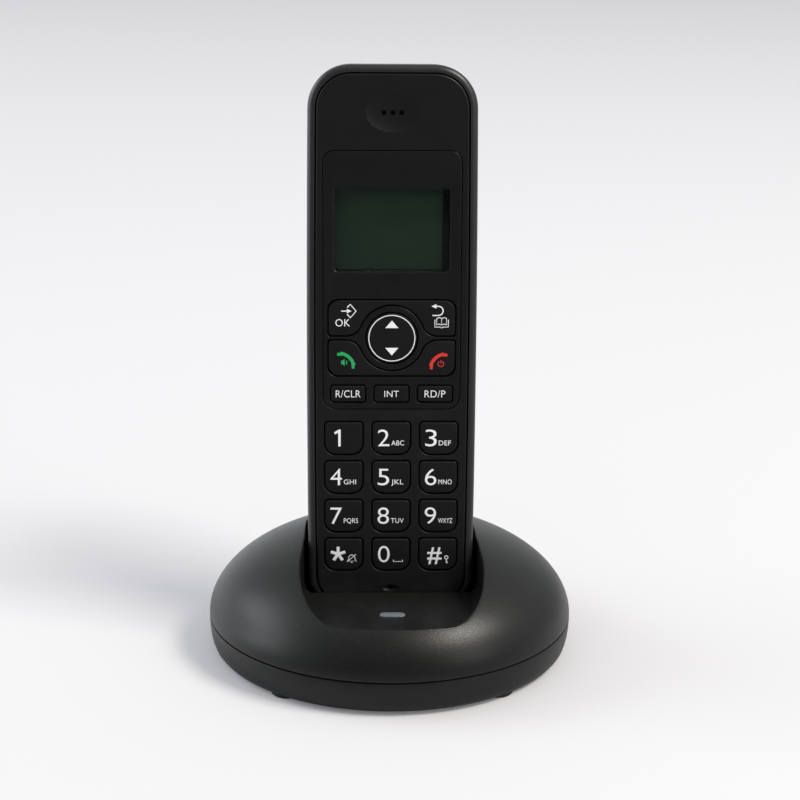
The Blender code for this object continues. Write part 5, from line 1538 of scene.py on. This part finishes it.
# %% Upper bar
into = [stroke([(-14.3, 7.7), (-12.0, 7.7)], 0.3), filled([(-12.7, 8.35), (-11.4, 7.7), (-12.7, 7.05)]),
        stroke([(-12.6, 8.75), (-11.7, 9.6), (-10.1, 7.7), (-11.7, 5.8), (-12.6, 6.8)], 0.32)]
okay = letters("OK", 2.05, -15.9, 3.35, -0.03, 4.1)
hook = [(12.0, 9.1), (13.1, 9.1)] + ring_points((13.1, 7.8), 1.3, 90, -90, 10) + [(11.4, 6.5)]
turn_back = [stroke(hook, 0.32), filled([(12.5, 9.75), (11.1, 9.1), (12.5, 8.45)])]
leaf = [(14.0, 5.6), (13.6, 5.85), (13.0, 5.85), (12.6, 5.6), (12.6, 3.8), (13.0, 4.0), (13.6, 4.0),
        (14.0, 3.75)]
other = [(28.0 - x, z) for x, z in reversed(leaf)]
cover_line = [(12.1, 5.3), (12.1, 3.2), (13.6, 3.2), (14.0, 2.95), (14.4, 3.2), (15.9, 3.2), (15.9, 5.3)]
print_marks("menu_bar", into + [okay] + turn_back + [stroke(leaf, 0.22, True), stroke(other, 0.22, True),
                                            stroke(cover_line, 0.22)],
            "white_ink", "menu_bar_key", (0.0, NAV_Z))


# %% Lower bar
def receiver(x, z, tilt):
    """A telephone receiver: a curved grip between two blunt ends, tilted by some degrees."""
    lean = math.radians(tilt)

    def placed(points):
        return [(x + px * math.cos(lean) - pz * math.sin(lean), z + px * math.sin(lean) + pz * math.cos(lean))
                for px, pz in points]

    grip = placed(ring_points((0.0, -4.2), 4.6, 124, 56, 14))
    ends = [placed([(side * 2.75, -0.35), (side * 2.2, -0.95)]) for side in (-1, 1)]
    return [stroke(grip, 0.95)] + [stroke(end, 1.6) for end in ends]


green = receiver(-12.35, -5.75, -42.0) + [
    filled([(-14.3, -6.4), (-13.9, -6.4), (-13.3, -5.9), (-13.3, -7.9), (-13.9, -7.4), (-14.3, -7.4)][::-1]),
    stroke([(-12.75, -6.4), (-12.75, -7.5)], 0.28)]
red = receiver(12.65, -5.95, 42.0) + [stroke(ring_points((13.9, -7.3), 0.8, 125, 415, 24), 0.22),
                                    stroke([(13.9, -6.3), (13.9, -7.2)], 0.22)]
print_marks("call_green", green, "green_ink", "call_bar_key", (0.0, NAV_Z))
print_marks("call_red", red, "red_ink", "call_bar_key", (0.0, NAV_Z))

# %% [markdown]
# # The back of the handset
# The battery door slides down off the back and has four ribs to push with. Two cross headed
# screws sit deep in their wells, and the charging contacts are plates with a crowned face.

# %% Battery door
low, high = DOOR_LOW, DOOR_HIGH
door = solid_plate(plate(high.x - low.x, low.z, high.z, 2.7 * MM, 2.7 * MM, 10), low.y, THICKNESS)
soften(door, 1, THICKNESS, 0.35 * MM, 4)
grips = []
for step in range(4):
    level = high.z - (5.0 + 1.8 * step) * MM
    grip = solid_plate(plate((13.0 - step) * MM, level - 0.45 * MM, level + 0.45 * MM, 0.44 * MM, 0.44 * MM,
                             5),
                       THICKNESS - 0.45 * MM, THICKNESS + MM)
    grips.append(grip)
door = combine(door, together(grips))
finish_piece("sliding_door", door, "case_plastic", "battery_door", HANDSET, ["battery_door"],
             crisp=40)

# %% Handset screws and contacts
for name in ("left", "right"):
    low, high = measure("handset_screw_" + name)
    screw = cross_screw(2.5 * MM, high.y - low.y - HEAD_HEIGHT)
    bmesh.ops.rotate(screw, matrix=Matrix.Rotation(math.pi / 2, 3, "X"), verts=screw.verts)
    bmesh.ops.translate(screw, vec=((low.x + high.x) / 2, high.y - HEAD_HEIGHT, POST_Z), verts=screw.verts)
    finish_piece("shell_screw_" + name, screw, "zinc_steel", "handset", HANDSET, ["handset_screw_" + name],
                 40)
    low, high = measure("charge_contact_" + name)
    contact = block((low.x, high.x), (low.y, high.y), (low.z, high.z))
    soften(contact, 2, low.z, 0.18 * MM, 3)
    finish_piece("contact_plate_" + name, contact, "nickel", "handset", HANDSET, ["charge_contact_" + name],
                 50)

# %% [markdown]
# ## Pieces that stay as engineered
# The boards, speakers, cells, springs and mat are hidden inside. Their engineering shapes are
# right as they are, so they only get their finishes.

# %% Finishes of the inner pieces
INNER = {
    "base_circuit_board": "circuit_board", "handset_circuit_board": "circuit_board",
    "display_holder": "mat_rubber", "keypad_mat": "mat_rubber", "battery_tray": "socket_plastic",
    "earpiece_speaker": "socket_plastic", "microphone": "socket_plastic", "ringer_speaker": "zinc_steel",
    "battery_cell_left": "cell_film", "battery_cell_right": "cell_film",
    "battery_spring_left": "nickel", "battery_spring_right": "nickel", "battery_bridge": "nickel",
}
for node, finish in INNER.items():
    NODES[node].data.materials.clear()
    NODES[node].data.materials.append(MATERIALS[finish])
print(len(INNER), "inner pieces finished")

# %% [markdown]
# # Floor, light and camera
# A black object is shown by what it reflects. A cool softbox stands high on the left and a
# warm one hangs over the right of the front: they make the two soft highlights on the dome. A
# side light and a dim front fill do the rest. Reflections see a room that is pale behind and at
# the sides, which draws the light rims, and dark in front, so that the flat face stays black.

# %% Floor and room
SMOOTH = {"interpolation_type": "SMOOTHSTEP"}
shape = bmesh.new()
bmesh.ops.create_grid(shape, x_segments=1, y_segments=1, size=8.0)
mesh = bpy.data.meshes.new("floor")
shape.to_mesh(mesh)
shape.free()
floor = bpy.data.objects.new("floor", mesh)
bpy.context.scene.collection.objects.link(floor)
tree, shader = new_material("paper_floor", (0.83, 0.83, 0.85), 0.9)
shader.inputs["Specular IOR Level"].default_value = 0.1
shader.inputs["Emission Color"].default_value = (0.97, 0.97, 1.0, 1)
shader.inputs["Emission Strength"].default_value = 0.1
# Painted reflection: glossy rays see the floor through this diffuse shader, painted dark in front of the
# phone and grey to its right, so the black face reflects a dark floor; camera and diffuse rays see the pale
# floor.
shade = tree.nodes.new("ShaderNodeBsdfDiffuse")
place = add_node(tree, "SeparateXYZ", Vector=add_node(tree, "TexCoord").outputs["Object"])
painted_dark_front = add_node(tree, "MapRange", SMOOTH, Value=place.outputs["Y"], From_Min=-0.14,
                From_Max=0.06, To_Min=0.0, To_Max=1.0)
right = add_node(tree, "MapRange", SMOOTH, Value=place.outputs["X"], From_Min=-0.1,
                 From_Max=0.3, To_Min=0.0, To_Max=1.0)
sides = blend_colours(tree, right.outputs["Result"], (0.95, 0.97, 1.0, 1), (0.5, 0.5, 0.5, 1))
tree.links.new(blend_colours(tree, painted_dark_front.outputs["Result"], (0.09, 0.09, 0.10, 1), sides),
               shade.inputs["Color"])
paths = tree.nodes.new("ShaderNodeLightPath")
mix = tree.nodes.new("ShaderNodeMixShader")
output = next(node for node in tree.nodes if node.type == "OUTPUT_MATERIAL")
tree.links.new(paths.outputs["Is Glossy Ray"], mix.inputs[0])
tree.links.new(shader.outputs[0], mix.inputs[1])
tree.links.new(shade.outputs[0], mix.inputs[2])
tree.links.new(mix.outputs[0], output.inputs["Surface"])
floor.data.materials.append(MATERIALS["paper_floor"])

world = bpy.data.worlds.new("studio")
bpy.context.scene.world = world
world.use_nodes = True
tree = world.node_tree
back = tree.nodes["Background"]
paths = tree.nodes.new("ShaderNodeLightPath")
way = add_node(tree, "SeparateXYZ", Vector=add_node(tree, "TexCoord").outputs["Generated"])
ahead = maths(tree, "MULTIPLY", way.outputs["Y"], -1.0)
beside = add_node(tree, "MapRange", SMOOTH, Value=ahead, From_Min=-0.1, From_Max=0.9,
                  To_Min=1.0, To_Max=0.0)
high = add_node(tree, "MapRange", SMOOTH, Value=way.outputs["Z"], From_Min=0.05,
                From_Max=0.6, To_Min=0.0, To_Max=1.0)
walls = blend_colours(tree, high.outputs["Result"], (0.95, 0.98, 1.0, 1), (0.30, 0.31, 0.32, 1))
dim = add_node(tree, "MapRange", SMOOTH, Value=way.outputs["X"], From_Min=-0.1,
               From_Max=0.7, To_Min=0.0, To_Max=1.0)
walls = blend_colours(tree, dim.outputs["Result"], walls, (0.36, 0.37, 0.38, 1))
room = blend_colours(tree, beside.outputs["Result"], (0.012, 0.012, 0.013, 1), walls)
plain = blend_colours(tree, paths.outputs["Is Diffuse Ray"], room, (0.50, 0.50, 0.52, 1))
tree.links.new(blend_colours(tree, paths.outputs["Is Camera Ray"], plain, (0.88, 0.88, 0.91, 1)),
               back.inputs["Color"])
back.inputs["Strength"].default_value = 1.0


# %% Softboxes
def softbox(name, direction, distance, width, height, power, colour):
    light = bpy.data.lights.new(name, "AREA")
    light.shape = "RECTANGLE"
    light.size = width
    light.size_y = height
    light.energy = power
    light.color = colour
    lamp = bpy.data.objects.new(name, light)
    target = Vector((0.0, 0.0, 0.07))
    lamp.location = target + Vector(direction).normalized() * distance
    lamp.rotation_euler = (target - lamp.location).to_track_quat("-Z", "Y").to_euler()
    bpy.context.scene.collection.objects.link(lamp)


softbox("cool_left", (-0.80, 0.28, 0.53), 3.2, 1.5, 1.2, 17.0, (0.93, 0.97, 1.0))
softbox("warm_overhead", (0.57, -0.27, 0.78), 2.8, 1.1, 0.7, 42.0, (1.0, 0.95, 0.86))
softbox("left_side", (-1.0, -0.05, 0.25), 2.6, 1.0, 1.8, 12.0, (0.95, 0.98, 1.0))
softbox("front_fill", (0.75, -0.6, 0.35), 3.0, 1.2, 1.6, 8.0, (1.0, 0.99, 0.97))
print("four softboxes")

# %% Camera
lens = bpy.data.cameras.new("camera")
lens.lens = 85.2
lens.sensor_width = 36.0
camera = bpy.data.objects.new("camera", lens)
camera.location = (-12.83 * MM, -517.69 * MM, 229.14 * MM)
camera.rotation_euler = [math.radians(angle) for angle in (73.3375, -0.4976, -1.5477)]
bpy.context.scene.collection.objects.link(camera)
bpy.context.scene.camera = camera
bpy.context.scene.view_settings.view_transform = "Standard"
